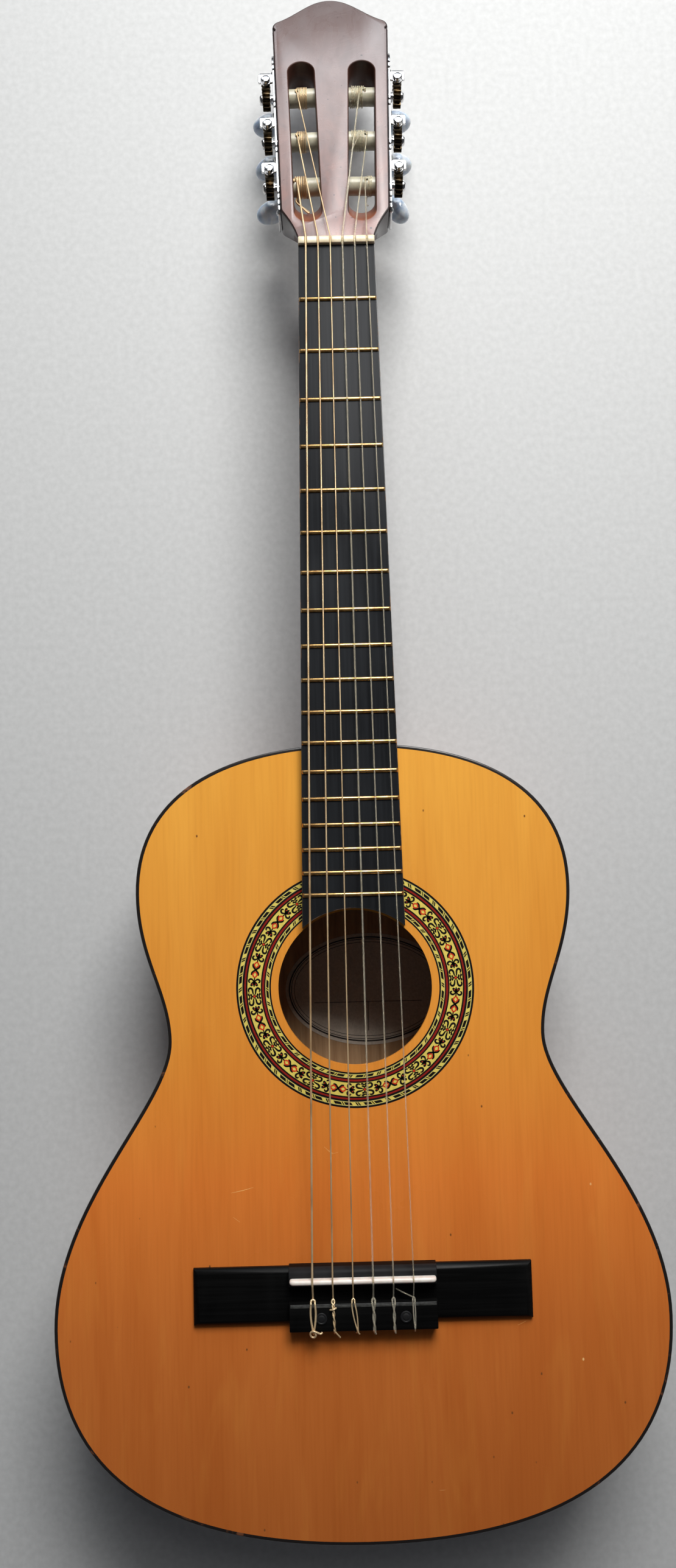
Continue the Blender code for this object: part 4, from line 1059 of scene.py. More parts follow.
def head_tip_half():
    """Half the headstock's far end: a small notch, a round corner and the crown."""
    side = HEAD_CORNER.x + 0.6
    notch = Vector((side, HEAD_CORNER.y - 6.0))
    crown_foot = HEAD_CORNER + Vector((-2.2, 1.9))
    crown_top = Vector((0.0, HEAD_CROWN_U))
    corner = bezier(Vector((side, HEAD_CORNER.y - 3.2)), Vector((side, HEAD_CORNER.y - 1.0)),
                    HEAD_CORNER + Vector((0.0, 0.5)), crown_foot, 6)
    crown = bezier(crown_foot, Vector((20.5, 177.0)), Vector((13.0, HEAD_CROWN_U)), crown_top, 24)
    return ([notch, notch + Vector((-1.2, 0.5)), notch + Vector((-1.3, 1.2))]
            + corner + crown + [crown_top])


def head_half(depth_share):
    """Half the headstock's outline; its ears reach in more steeply behind the face."""
    def between(front, back):
        return Vector(front).lerp(Vector(back), depth_share)
    foot = between((22.2, 0.0), (18.0, 12.0))
    ear_end = between((31.4, 21.9), (31.0, 21.8))
    shoulder_end = between((32.35, 25.0), (32.35, 25.6))
    ear = bezier(foot, between((23.6, 8.0), (22.5, 16.4)), between((26.5, 14.0), (27.0, 19.0)),
                 ear_end, 14)
    shoulder = bezier(ear_end, between((31.9, 22.6), (31.9, 22.5)),
                      between((32.3, 23.6), (32.3, 23.8)), shoulder_end, 4)
    return [Vector((0.0, foot.y))] + ear + shoulder + [shoulder_end] + head_tip_half()


def slot_outline(width):
    far = SLOT_END_U - SLOT_START_U - 0.5 * SLOT_WIDTH
    return (arc((0.0, far), 0.5 * width, 0.0, math.pi, 24)
            + arc((0.0, 0.5 * SLOT_WIDTH), 0.5 * width, math.pi, 2.0 * math.pi, 24))


def neck_blank():
    """The neck's shaft, its heel and the foot inside the body, as one solid."""
    rings = [neck_ring(y) for y in NECK_STATIONS] + [neck_ring(584.0, depth=14.6)]
    rings += [neck_ring(y, BODY_DEPTH - drop, depth, half) for y, drop, depth, half in NECK_END]
    neck = loft("neck_and_head", rings)
    heights = [INSIDE_LOW + (BODY_DEPTH - 14.0) * step / 14 for step in range(15)]
    neck = boolean(neck, loft("heel", [heel_ring(z) for z in heights]), "UNION")
    foot = box("foot", (-FOOT_HALF, FOOT_START_Y, INSIDE_LOW),
               (FOOT_HALF, BODY_TOP_Y - 2.1, INSIDE_TOP), 1.0)
    neck = boolean(neck, foot, "UNION")
    web = box("web", (-WEB_HALF, BODY_TOP_Y - 4.0, INSIDE_LOW),
              (WEB_HALF, BODY_TOP_Y + 4.0, WEB_TOP))
    return boolean(neck, web, "UNION")


def head_blank():
    rings = []
    for inward, depth in HEAD_RIMS:
        # This outline is anticlockwise, so inset() moves it inwards by a negative distance
        outline = inset(mirrored(head_half(depth / HEAD_THICK)), -inward)
        rings.append([(*p, -depth) for p in outline])
    head = loft("head", rings)
    head.data.transform(HEAD)
    return head


def slot_cutter(sign):
    """A headstock slot, with a ramp at its nut end."""
    rings = []
    for extra, z in SLOT_RIMS:
        ring = []
        for p in slot_outline(SLOT_WIDTH + 2 * extra):
            ramp = max(-z, 0.0) * SLOT_RAMP if p.y < 0.6 * SLOT_WIDTH else 0.0
            ring.append((p.x, p.y + ramp, z))
        rings.append(ring)
    slot = loft("slot", rings)
    slot.data.transform(side_frame(sign)
                        @ shift(-sign * SLOT_FROM_SIDE, SLOT_START_U - HEAD_SHOULDER.y, 0.0))
    return slot


def bore_cutter(sign, along):
    """The hole for a roller, from the side of the headstock inwards."""
    radius = ROLLER_RADIUS + 0.1
    bore = turned("bore", [(radius, -4.0), (radius, ROLLER_INSIDE + 0.2)])
    bore.data.transform(side_frame(sign) @ shift(0.0, along, ROLLER_C) @ spin("Y", -90.0 * sign))
    return bore


def build_neck():
    neck = boolean(neck_blank(), head_blank(), "UNION")
    for sign in (1.0, -1.0):
        neck = boolean(neck, slot_cutter(sign))
        for along in ROLLER_B:
            neck = boolean(neck, bore_cutter(sign, along))
    paint_head(dress(neck, NECK_WOOD, smooth=32.0, stands_for=["neck"]))


def paint_head(neck):
    """The headstock's own finishes: its face, slots, edge, front rim and slot ends; the front rim
    and the slots' rims are painted dark as shade.
    """
    face = HEAD.to_3x3() @ Vector((0.0, 0.0, 1.0))
    tipward = HEAD.to_3x3() @ Vector((0.0, 1.0, 0.0))
    inverse = HEAD.inverted()

    def local(centre):
        return inverse @ (centre * MM) / MM

    # The slot walls and the slots' rims; the dark finish on the rims is painted shade
    def in_slot(centre, normal):
        place = local(centre)
        across = (HEAD_SHOULDER.x - SLOT_FROM_SIDE
                  + (place.y - HEAD_SHOULDER.y) * math.tan(SPLAY))
        return (SLOT_START_U - 1.5 < place.y < SLOT_END_U + 1.5
                and abs(abs(place.x) - across) < 0.5 * SLOT_WIDTH + 1.0
                and abs(normal.dot(face)) < FACING)

    def on_edge(centre, normal):
        place = local(centre)
        return (place.y > 0.5 and place.z > -HEAD_THICK and abs(normal.dot(face)) < FACING
                and not in_slot(centre, normal))

    # The front rim's faces, which get the painted shade
    def on_rim(centre, normal):
        return on_edge(centre, normal) and local(centre).z > -RIM_DEPTH

    def on_face(centre, normal):
        return local(centre).y > 0.5 and normal.dot(face) > FACING

    def on_ramp(centre, normal):
        return (in_slot(centre, normal) and normal.dot(face) > SLOPING
                and normal.dot(tipward) > SLOPING)

    for finish, test in ((FACE_WOOD, on_face), (SLOT_STAIN_AND_RIM_SHADE, in_slot), (EAR_WOOD, on_edge),
                         (RIM_PAINTED_SHADE, on_rim), (SLOT_END, on_ramp)):
        paint_faces(neck, finish, test)


# ----------------------------------------------------------- fingerboard, frets and nut

FRET_HALF = 1.15
FRET_CROWN = 1.05
# How far a fret's crown has dropped at each distance from its end
FRET_END = [(0.0, 0.75), (0.35, 0.25), (0.9, 0.0)]
# How far the nut's top has dropped at each place along the strings
NUT_DROPS = [(0.0, 0.8), (0.25, 0.3), (0.9, 0.0), (NUT_LENGTH - 1.4, 0.0),
             (NUT_LENGTH - 0.5, 0.45), (NUT_LENGTH, 1.3)]


def build_fingerboard():
    """A tapered board whose end is cut round the soundhole."""
    nut_end = SCALE_LENGTH + 0.1
    end_half = board_half(BOARD_END_Y)
    radius = math.hypot(end_half, HOLE_Y - BOARD_END_Y)
    swing = math.asin(end_half / radius)
    outline = [Vector((-NUT_HALF, nut_end)), Vector((NUT_HALF, nut_end)),
               Vector((end_half, BOARD_END_Y))]
    outline += arc(HOLE, radius, 0.5 * math.pi - swing, 0.5 * math.pi + swing, 40)[1:-1]
    outline.append(Vector((-end_half, BOARD_END_Y)))
    board = plate("board", [outline], BODY_DEPTH + 0.02, BOARD_TOP, 0.35, 1)
    dress(board, BOARD_WOOD, stands_for=["fingerboard"], smooth=30.0)
    paint_faces(board, BOARD_EDGE, lambda c, n: n.z < 0.95)


def build_frets():
    """Frets with a round crown and filed ends."""
    floor = FRET_FLOOR - 0.3
    for number in range(1, FRET_COUNT + 1):
        y = fret_y(number)
        end = [(board_half(y) - 0.35 - inward, drop) for inward, drop in FRET_END]
        rings = []
        for x, drop in [(-x, drop) for x, drop in end] + end[::-1]:
            ring = []
            for step in range(11):
                angle = math.pi * step / 10
                height = FRET_CROWN * math.sin(angle) ** 0.8 - drop
                ring.append((x, y + FRET_HALF * math.cos(angle), FRET_FLOOR + max(height, 0.0)))
            rings.append(ring + [(x, y - FRET_HALF, floor), (x, y + FRET_HALF, floor)])
        dress(loft("fret_wire_%02d" % number, rings), FRET_METAL, smooth=50.0,
              stands_for=["fret_%02d" % number])


def build_nut():
    """A bar with rounded edges and a round-bottomed notch for each string."""
    corner = [(NUT_HALF, BODY_DEPTH + GAP), (NUT_HALF, NUT_TOP - 0.9),
              (NUT_HALF - 0.25, NUT_TOP - 0.3), (NUT_HALF - 0.9, NUT_TOP)]
    edge = [(-x, z) for x, z in corner]
    for number in range(STRING_COUNT, 0, -1):
        centre = 0.5 * NUT_SPAN * string_share(number)
        room = STRING_RADII[number - 1] + 0.1
        bottom = NUT_TOP - 2.0 * STRING_RADII[number - 1] - 0.5
        edge += [(centre - room - 0.3, NUT_TOP), (centre - room, NUT_TOP - 0.4)]
        edge += arc((centre, bottom + room), room, math.pi, 2.0 * math.pi, 4)
        edge += [(centre + room, NUT_TOP - 0.4), (centre + room + 0.3, NUT_TOP)]
    edge += corner[::-1]
    rings = []
    for along, drop in NUT_DROPS:
        y = SCALE_LENGTH + 0.12 + along
        rings.append([(x, y, z - (drop if z > NUT_TOP - 2.2 else 0.0)) for x, z in edge])
    dress(loft("nut_bar", rings), NUT_PLASTIC, stands_for=["nut"])


# -------------------------------------------------------------------------- the bridge

BRIDGE_BASE = BODY_DEPTH + 0.02
BEAD_BACK = SADDLE_Y - 0.5 * SADDLE_THICK - 2.0
# The block's section from its back round to its front edge, as (y, z)
BLOCK_SECTION = [
    (BLOCK_BACK_Y, BRIDGE_BASE), (BLOCK_BACK_Y, BLOCK_TOP - 1.6),
    (BLOCK_BACK_Y + 0.5, BLOCK_TOP - 0.5), (BLOCK_BACK_Y + 1.6, BLOCK_TOP),
    (TIE_FRONT_Y - 0.7, BLOCK_TOP), (TIE_FRONT_Y - 0.2, BLOCK_TOP - 0.2),
    (TIE_FRONT_Y, BLOCK_TOP - 0.7), (TIE_FRONT_Y, CHANNEL_TOP + 0.5),
    (TIE_FRONT_Y + 0.6, CHANNEL_TOP), (BEAD_BACK - 1.4, CHANNEL_TOP),
    (BEAD_BACK - 0.4, CHANNEL_TOP + 0.4), (BEAD_BACK, CHANNEL_TOP + 1.4),
    (BEAD_BACK, BLOCK_TOP - 1.2), (BEAD_BACK + 0.3, BLOCK_TOP - 0.6),
    (BEAD_BACK + 0.9, BLOCK_TOP - 0.3), (SADDLE_Y, BLOCK_TOP),
    (BLOCK_FRONT_Y - 3.0, BLOCK_TOP - 0.2), (BLOCK_FRONT_Y - 1.6, BLOCK_TOP - 1.0),
    (BLOCK_FRONT_Y - 0.6, BLOCK_TOP - 2.3), (BLOCK_FRONT_Y - 0.1, BLOCK_TOP - 4.0),
    (BLOCK_FRONT_Y, BRIDGE_BASE)]
# How far the block's top has dropped at each distance from its end
BLOCK_END = [(0.0, 0.5), (0.15, 0.15), (0.5, 0.0)]
# The wings' height at each distance in from their edge
WING_RIMS = [(BRIDGE_BASE, 0.0), (BODY_DEPTH + 1.9, 0.0), (BODY_DEPTH + 2.3, 0.25),
             (BODY_DEPTH + WING_HEIGHT - 0.25, 2.3), (BODY_DEPTH + WING_HEIGHT, 3.0)]
# The saddle's end: distance from it, drop of the top, share of the full thickness
SADDLE_END = [(0.0, 1.7, 0.35), (0.25, 1.1, 0.68), (0.8, 0.5, 0.92), (1.6, 0.12, 1.0),
              (3.0, 0.0, 1.0)]
SADDLE_CROWN = 1.3
# The strips let into the tie block: distance from its front edge and half their width
TIE_STRIPS = [(1.55, 0.62), (0.55, 0.22)]
CAP_PROFILE = [(CAP_RADIUS, 0.0), (CAP_RADIUS, 0.25), (CAP_RADIUS - 0.15, 0.45),
               (CAP_RADIUS - 0.5, 0.55), (CAP_RADIUS - 0.8, 0.53), (CAP_RADIUS - 0.95, 0.40),
               (CAP_RADIUS - 1.2, 0.40), (CAP_RADIUS - 1.4, 0.53), (1.0, 0.6), (0.2, 0.62)]


def saddle_x(number):
    return 0.5 * SADDLE_SPAN * string_share(number)


def bridge_blank():
    """The tie block and saddle block between two low wings."""
    end = [(BLOCK_HALF - inward, drop) for inward, drop in BLOCK_END]
    rings = []
    for x, drop in [(-x, drop) for x, drop in end] + end[::-1]:
        rings.append([(x, y, z - (drop if z > CHANNEL_TOP + 1.0 else 0.0))
                      for y, z in BLOCK_SECTION])
    block = loft("bridge_body", rings)
    rings = []
    for z, inward in WING_RIMS:
        half = BRIDGE_HALF - 1.3 * inward
        back, front = BRIDGE_BACK_Y + inward, BRIDGE_FRONT_Y - inward
        rings.append([(-half, back, z), (half, back, z), (half, front, z), (-half, front, z)])
    return boolean(block, loft("wings", rings), "UNION")


def string_hole(number):
    """The sloping hole through the tie block that a string goes in by."""
    start = Vector((saddle_x(number), TIE_FRONT_Y + 3.0, CHANNEL_TOP + 2.7))
    end = Vector((saddle_x(number), BLOCK_BACK_Y - 3.0, CHANNEL_TOP + 1.3))
    hole = turned("hole", [(0.95, 0.0), (0.95, 22.0)], 16)
    slope = (end - start).to_track_quat("Z", "Y").to_matrix().to_4x4()
    hole.data.transform(Matrix.Translation(start * MM) @ slope)
    return hole


def build_bridge():
    bridge = bridge_blank()
    room = 0.5 * SADDLE_THICK + 0.06
    slot = box("slot", (-SADDLE_HALF - 0.1, SADDLE_Y - room, CHANNEL_TOP),
               (SADDLE_HALF + 0.1, SADDLE_Y + room, BLOCK_TOP + 4.0))
    bridge = boolean(bridge, slot)
    for number in range(1, STRING_COUNT + 1):
        bridge = boolean(bridge, string_hole(number))
    dress(bridge, BRIDGE_WOOD, stands_for=["bridge"], smooth=28.0)
    # The bead and the block's front get the lighter grey of the painted sheen
    paint_faces(bridge, BEAD_EBONY_AND_PAINTED_SHEEN, lambda c, n: abs(c.x) < BLOCK_HALF
                and c.y > BEAD_BACK - 0.1 and c.z > BODY_DEPTH + 3.0)

    strips = []
    for inward, half in TIE_STRIPS:
        y = TIE_FRONT_Y - inward
        strips.append(box("strip", (-BLOCK_HALF + 0.6, y - half, BLOCK_TOP - 0.3),
                          (BLOCK_HALF - 0.6, y + half, BLOCK_TOP + 0.12), 0.12, 1))
    dress(joined("tie_block_strips", strips), STRIP_GREY)
    build_saddle()
    for name, sign in (("treble", 1.0), ("bass", -1.0)):
        dress(turned(name + "_cap", CAP_PROFILE), CAP_BLACK,
              stands_for=[name + "_bolt_cap"],
              matrix=shift(sign * CAP_PLACE.x, CAP_PLACE.y, BLOCK_TOP + 0.02))


def build_saddle():
    """A bar with a round crown that narrows at its ends."""
    foot = CHANNEL_TOP + 0.1
    rings = []
    for inward, drop, narrow in SADDLE_END:
        x = inward - SADDLE_HALF
        half = 0.5 * SADDLE_THICK * narrow
        ring = []
        for step in range(13):
            angle = math.pi * step / 12
            ring.append((x, SADDLE_Y + half * math.cos(angle),
                         SADDLE_TOP - SADDLE_CROWN - drop + SADDLE_CROWN * math.sin(angle)))
        rings.append(ring + [(x, SADDLE_Y - half, foot), (x, SADDLE_Y + half, foot)])
    rings += [[(-x, y, z) for x, y, z in ring] for ring in reversed(rings)]
    dress(loft("saddle_bar", rings), SADDLE_PLASTIC, stands_for=["saddle"])


# ------------------------------------------------------------------- tuning machines

# Turns a shape drawn as (along, height) to stand in the plane of a machine plate
STANDING = Matrix(((0, 0, 1, 0), (1, 0, 0, 0), (0, 1, 0, 0), (0, 0, 0, 1)))
FRONT_LUG = FRONT_LUG_C - ROLLER_C
BACK_LUG = BACK_LUG_C - ROLLER_C
WORM_SHAFT = [(2.1, BACK_LUG - 6.0), (2.1, BACK_LUG + 1.2), (2.9, BACK_LUG + 1.25),
              (2.9, BACK_LUG + 2.0), (1.5, BACK_LUG + 2.1), (1.5, FRONT_LUG - 1.9),
              (2.9, FRONT_LUG - 1.8), (2.9, FRONT_LUG - 1.05), (2.6, FRONT_LUG - 1.0),
              (2.6, FRONT_LUG + 0.9), (2.3, FRONT_LUG + 1.25), (1.5, FRONT_LUG + 1.45),
              (0.2, FRONT_LUG + 1.5)]
THREAD_RADIUS = 2.1
THREAD_WIRE = 0.78
# Half a gear tooth at each radius, from one foot over the tip to the other
TOOTH = [(4.5, -0.55), (4.75, -0.42), (5.9, -0.30), (6.2, -0.14), (6.2, 0.14), (5.9, 0.30),
         (4.75, 0.42), (4.5, 0.55)]
SCREW_BASE = GEAR_A + 0.5 * GEAR_THICK + 0.15
GEAR_SCREW = [(2.95, 0.0), (2.95, 0.5), (2.75, 1.05), (2.2, 1.5), (1.2, 1.8), (0.2, 1.88)]
PLATE_SCREW = [(1.7, -0.2), (1.7, 0.1), (1.45, 0.6), (0.9, 0.95), (0.15, 1.05)]
PLATE_SCREW_PLACES = [7.5, 47.8, 82.8, 116.5]
PLATE_SCREW_C = -9.5
# The button's half width and half thickness at each height over its middle
BUTTON_SIZES = [(7.2, 2.6, 2.4), (6.6, 3.8, 3.0), (5.6, 6.4, 3.9), (4.2, 8.5, 4.6),
                (2.2, 10.0, 5.2), (0.0, 10.5, 5.5), (-2.4, 10.0, 5.3), (-4.4, 8.6, 4.8),
                (-6.0, 6.4, 3.9), (-7.0, 3.7, 2.5), (-7.45, 1.2, 0.8)]
PLATE_FRONT_C = -0.9
PLATE_BACK_C = -18.1
SCALLOP_RADIUS = 1.2
SCALLOP_STEP = 4.4
# Groups of scallops: where each starts and how many it has
SCALLOPS = [(4.0, 3), (44.0, 2), (79.0, 2), (109.0, 2)]
LUG_ROOM = 2.75
LUG_HALF = LUG_ROOM + 1.75
LUG_CORNER = 2.0


def tuner_place(number):
    """The side and the place along it of the machine that takes a string."""
    if number > 3:
        return -1.0, ROLLER_B[6 - number]
    return 1.0, ROLLER_B[number - 1]


def machine_matrix(number):
    sign, along = tuner_place(number)
    return side_frame(sign) @ shift(0.0, along, ROLLER_C)


def worm_matrix(number):
    sign, _ = tuner_place(number)
    return machine_matrix(number) @ shift(sign * GEAR_A, WORM_OFFSET, 0.0)


def build_roller(number):
    """A roller with its shaft, gear and gear screw."""
    sign, _ = tuner_place(number)
    body = "tuner_%d_roller" % number
    outward = machine_matrix(number) @ spin("Y", 90.0 * sign)
    barrel = turned("roller_barrel_%d" % number,
                    [(ROLLER_RADIUS - 0.5, -ROLLER_INSIDE), (ROLLER_RADIUS, -ROLLER_INSIDE + 0.5),
                     (ROLLER_RADIUS, -0.9), (ROLLER_RADIUS - 0.5, -0.4)], 40)
    hole = turned("string_hole", [(0.85, -8.0), (0.85, 8.0)], 14)
    hole.data.transform(shift(0.0, 0.0, -COIL_PLACES[number][0]) @ spin("Y", 90.0))
    dress(boolean(barrel, hole), ROLLER_PLASTIC, body, matrix=outward,
          stands_for=["roller_%d" % number])
    shaft = turned("roller_shaft_%d" % number, [(2.3, -0.6), (2.3, 3.2), (1.5, 3.25), (1.5, 8.6)])
    dress(shaft, CHROME, body, matrix=outward)
    head = turned("gear_screw_%d" % number, [(radius, SCREW_BASE + z) for radius, z in GEAR_SCREW])
    slit = box("slit", (-4.0, -0.35, SCREW_BASE + 1.1), (4.0, 0.35, SCREW_BASE + 3.0))
    dress(boolean(head, slit), CHROME, body, matrix=outward)
    dress(gear_mesh(number), GEAR_METAL, body, smooth=30.0,
          matrix=machine_matrix(number), stands_for=["gear_%d" % number])


def build_worm(number):
    """A worm shaft with its thread and button."""
    body = "tuner_%d_worm" % number
    place = worm_matrix(number)
    dress(turned("worm_shaft_%d" % number, WORM_SHAFT, 28), CHROME, body,
          matrix=place)
    dress(worm_thread(number), WORM_METAL, body, smooth=50.0, matrix=place,
          stands_for=["worm_%d" % number])
    dress(button_mesh(number), PEARL, body, smooth=60.0, matrix=place)


def gear_mesh(number):
    """A gear of rounded teeth that lean with the worm's thread."""
    sign, _ = tuner_place(number)
    outline = []
    for tooth in range(GEAR_TEETH):
        centre = 2.0 * math.pi * tooth / GEAR_TEETH
        for radius, half in TOOTH:
            angle = centre + half / radius
            outline.append(Vector((radius * math.cos(angle), radius * math.sin(angle))))
    gear = plate("gear_wheel_%d" % number, [outline, circle((0.0, 0.0), 1.6, 24)],
                 -0.5 * GEAR_THICK, 0.5 * GEAR_THICK, 0.12, 1)
    gear.data.transform(STANDING)
    lean = 0.4 * WORM_LEAD / (2.0 * math.pi * THREAD_RADIUS * GEAR_PITCH_RADIUS)
    for vertex in gear.data.vertices:
        vertex.co = Matrix.Rotation(lean * vertex.co.x / MM, 3, "X") @ vertex.co
    gear.data.transform(shift(sign * GEAR_A, 0.0, 0.0))
    return gear


def worm_thread(number):
    """A right-handed thread about the local Z axis, a gap of it facing the gear."""
    points = []
    for index in range(-32, 33):
        turns = index / 20
        angle = 2.0 * math.pi * turns - 0.5 * math.pi
        radius = THREAD_RADIUS if abs(index) < 29 else 0.82 * THREAD_RADIUS
        points.append(Vector((radius * math.cos(angle), radius * math.sin(angle),
                              WORM_LEAD * (turns + 0.5))))
    return tube("worm_thread_%d" % number, [points], THREAD_WIRE, 10)


def button_mesh(number):
    """An oval button, fuller to its far end, on a short neck."""
    rings = []
    for height, wide, thick in BUTTON_SIZES:
        ring = []
        for step in range(32):
            angle = 2.0 * math.pi * step / 32
            ring.append((wide * squared(math.cos(angle), 0.9),
                         thick * squared(math.sin(angle), 0.9), BUTTON_C - ROLLER_C + height))
        rings.append(ring)
    button = loft("button_%d" % number, rings)
    button.data.transform(spin("Z", BUTTON_TURNS[number - 1]))
    swell = button.modifiers.new("swell", "SUBSURF")
    swell.levels = 1
    swell.render_levels = 1
    return button


def plate_outline():
    """The plate from its nut end to its tip end, with scalloped front and back edges."""
    front, end = PLATE_FRONT_C, PLATE_LENGTH
    upper = [Vector((0.0, front - 2.5)), Vector((0.5, front - 1.0)), Vector((2.0, front))]
    for start, count in SCALLOPS:
        for index in range(count):
            centre = start + SCALLOP_RADIUS + SCALLOP_STEP * index
            upper += arc((centre, front), SCALLOP_RADIUS, -math.pi, 0.0, 8)
    upper += [Vector((end - 2.0, front)), Vector((end - 0.5, front - 1.0)),
              Vector((end, front - 2.5))]
    return upper + [Vector((p.x, front + PLATE_BACK_C - p.y)) for p in reversed(upper)]


def lug_outline(along):
    """A rounded tab with an open round-bottomed slot for the worm shaft, facing the gear."""
    centre = along + WORM_OFFSET
    foot = centre - 3.2
    corner_y = centre + LUG_HALF - LUG_CORNER
    points = [(GEAR_A - LUG_HALF + 0.3, foot + 0.3), (GEAR_A - LUG_HALF, foot + 0.8)]
    for side, first in ((-1.0, math.pi), (1.0, 0.5 * math.pi)):
        points += arc((GEAR_A + side * (LUG_HALF - LUG_CORNER), corner_y), LUG_CORNER,
                      first, first - 0.5 * math.pi, 6)
    points += [(GEAR_A + LUG_HALF, foot + 0.8), (GEAR_A + LUG_HALF - 0.3, foot + 0.3),
               (GEAR_A + LUG_ROOM + 0.3, foot), (GEAR_A + LUG_ROOM, foot + 0.4)]
    points += arc((GEAR_A, centre), LUG_ROOM, 0.0, math.pi, 16)
    return points + [(GEAR_A - LUG_ROOM, foot + 0.4), (GEAR_A - LUG_ROOM - 0.3, foot)]


def plate_parts():
    """A machine plate of the treble side: the strip and its lugs, each with its bend."""
    holes = [circle((along, ROLLER_C), 2.45, 24) for along in ROLLER_B]
    strip = plate("strip", [plate_outline()] + holes, PLATE_A, PLATE_A + PLATE_METAL, 0.2, 1)
    strip.data.transform(STANDING)
    parts = [strip]
    for along in ROLLER_B:
        middle = along + WORM_OFFSET + 0.6
        for height in (FRONT_LUG_C, BACK_LUG_C):
            low = height - 0.5 * LUG_THICK
            parts.append(plate("lug", [lug_outline(along)], low, low + LUG_THICK, 0.3, 2))
            parts.append(box("bend", (PLATE_A + 0.2, middle - 2.9, low),
                             (GEAR_A - 3.2, middle + 2.9, low + 0.8), 0.25))
    return parts


def build_plates():
    for name, sign in (("treble", 1.0), ("bass", -1.0)):
        metal = joined(name + "_plate", plate_parts())
        metal.data.transform(Matrix.Diagonal((sign, 1.0, 1.0, 1.0)))
        if sign < 0.0:
            metal.data.flip_normals()
        dress(metal, CHROME, matrix=side_frame(sign), smooth=40.0,
              stands_for=[name + "_machine_plate"])
        screws = []
        for along in PLATE_SCREW_PLACES:
            slit = box("slit", (-2.5, -0.22, 0.55), (2.5, 0.22, 2.0))
            screw = boolean(turned("screw", PLATE_SCREW, 20), slit)
            slit_turn = Matrix.Rotation(DRAW.uniform(0.0, math.pi), 4, "Z")
            screw.data.transform(shift(sign * (PLATE_A + PLATE_METAL), along, PLATE_SCREW_C)
                                 @ spin("Y", 90.0 * sign) @ slit_turn)
            screws.append(screw)
        dress(joined(name + "_plate_screws", screws), CHROME,
              matrix=side_frame(sign))


# ------------------------------------------------------------------------ the strings

# For each string: where its coil starts and ends, from the side of the headstock
# inwards, and where the string itself lands on its roller
COIL_PLACES = {1: (13.2, 10.2, 14.5), 2: (14.2, 22.6, 13.0), 3: (15.2, 23.2, 17.5),
               4: (13.6, 19.6, 13.0), 5: (12.6, 17.4, 12.0), 6: (9.6, 16.8, 10.5)}
# How each string is tied on the block: the loop's width, how often its strands twist
# round each other, how far they lean to the treble side behind, and the tail behind them
TIES = {
    6: (2.8, 0.0, 0.0, [(4.8, 0.7, 0.2), (3.8, 0.1, 0.5), (2.7, 0.5, 0.7), (1.3, 1.2, 0.9),
                        (-0.2, 1.6, 0.9), (-1.5, 0.8, 0.5), (-1.7, -0.5, 0.1),
                        (-0.9, -1.7, -0.1), (0.5, -1.8, 0.1), (1.2, -0.7, 0.5),
                        (0.9, 0.6, 0.6)]),
    5: (0.9, 1.5, 0.6, [(3.4, -2.4, -0.3), (2.4, -1.0, 0.3), (1.2, 0.4, 0.5)]),
    4: (2.1, 0.0, 2.0, [(3.0, -0.9, -0.3), (2.4, -0.1, 0.2)]),
    3: (1.3, 1.0, 0.2, [(0.9, -0.9, -0.3), (0.6, -0.2, 0.2)]),
    2: (1.2, 1.0, 0.2, [(0.7, -0.9, -0.3), (0.5, -0.2, 0.2)]),
    1: (1.1, 0.0, 0.3, [(0.5, 2.6, 0.2), (0.4, 3.4, 0.2)]),
}
# Short extra ends, as offsets from where the string meets the block's front edge
LOOSE_ENDS = {5: [(-1.7, -2.9, 0.5), (0.0, -2.4, 1.4), (1.6, -1.9, 0.5)],
              1: [(-0.4, 2.0, -1.6), (-4.8, 4.2, -1.4), (-9.6, 6.6, -1.9)]}
# Tails that stand off a roller: how finely each is curved, and its points, from the side
# of the headstock inwards
COIL_TAILS = {
    6: (5, [(10.2, -3.4, -4.6), (11.5, -8.0, -4.9), (15.2, -13.0, -3.9), (16.9, -15.8, -3.0),
            (16.2, -16.4, -2.6), (13.0, -13.6, -1.4), (10.4, -11.2, -0.8), (9.4, -9.0, -0.9),
            (10.0, -6.6, -1.8)]),
    4: (5, [(16.2, 2.0, -5.2), (14.8, 6.5, -6.5), (12.4, 10.5, -5.5)]),
    2: (1, [(17.8, -1.0, 5.6), (19.0, -4.4, 6.0), (22.8, -12.5, 4.2)]),
    1: (5, [(13.2, -4.0, -4.2), (13.6, -8.5, -4.6), (12.6, -11.5, -3.2)]),
}


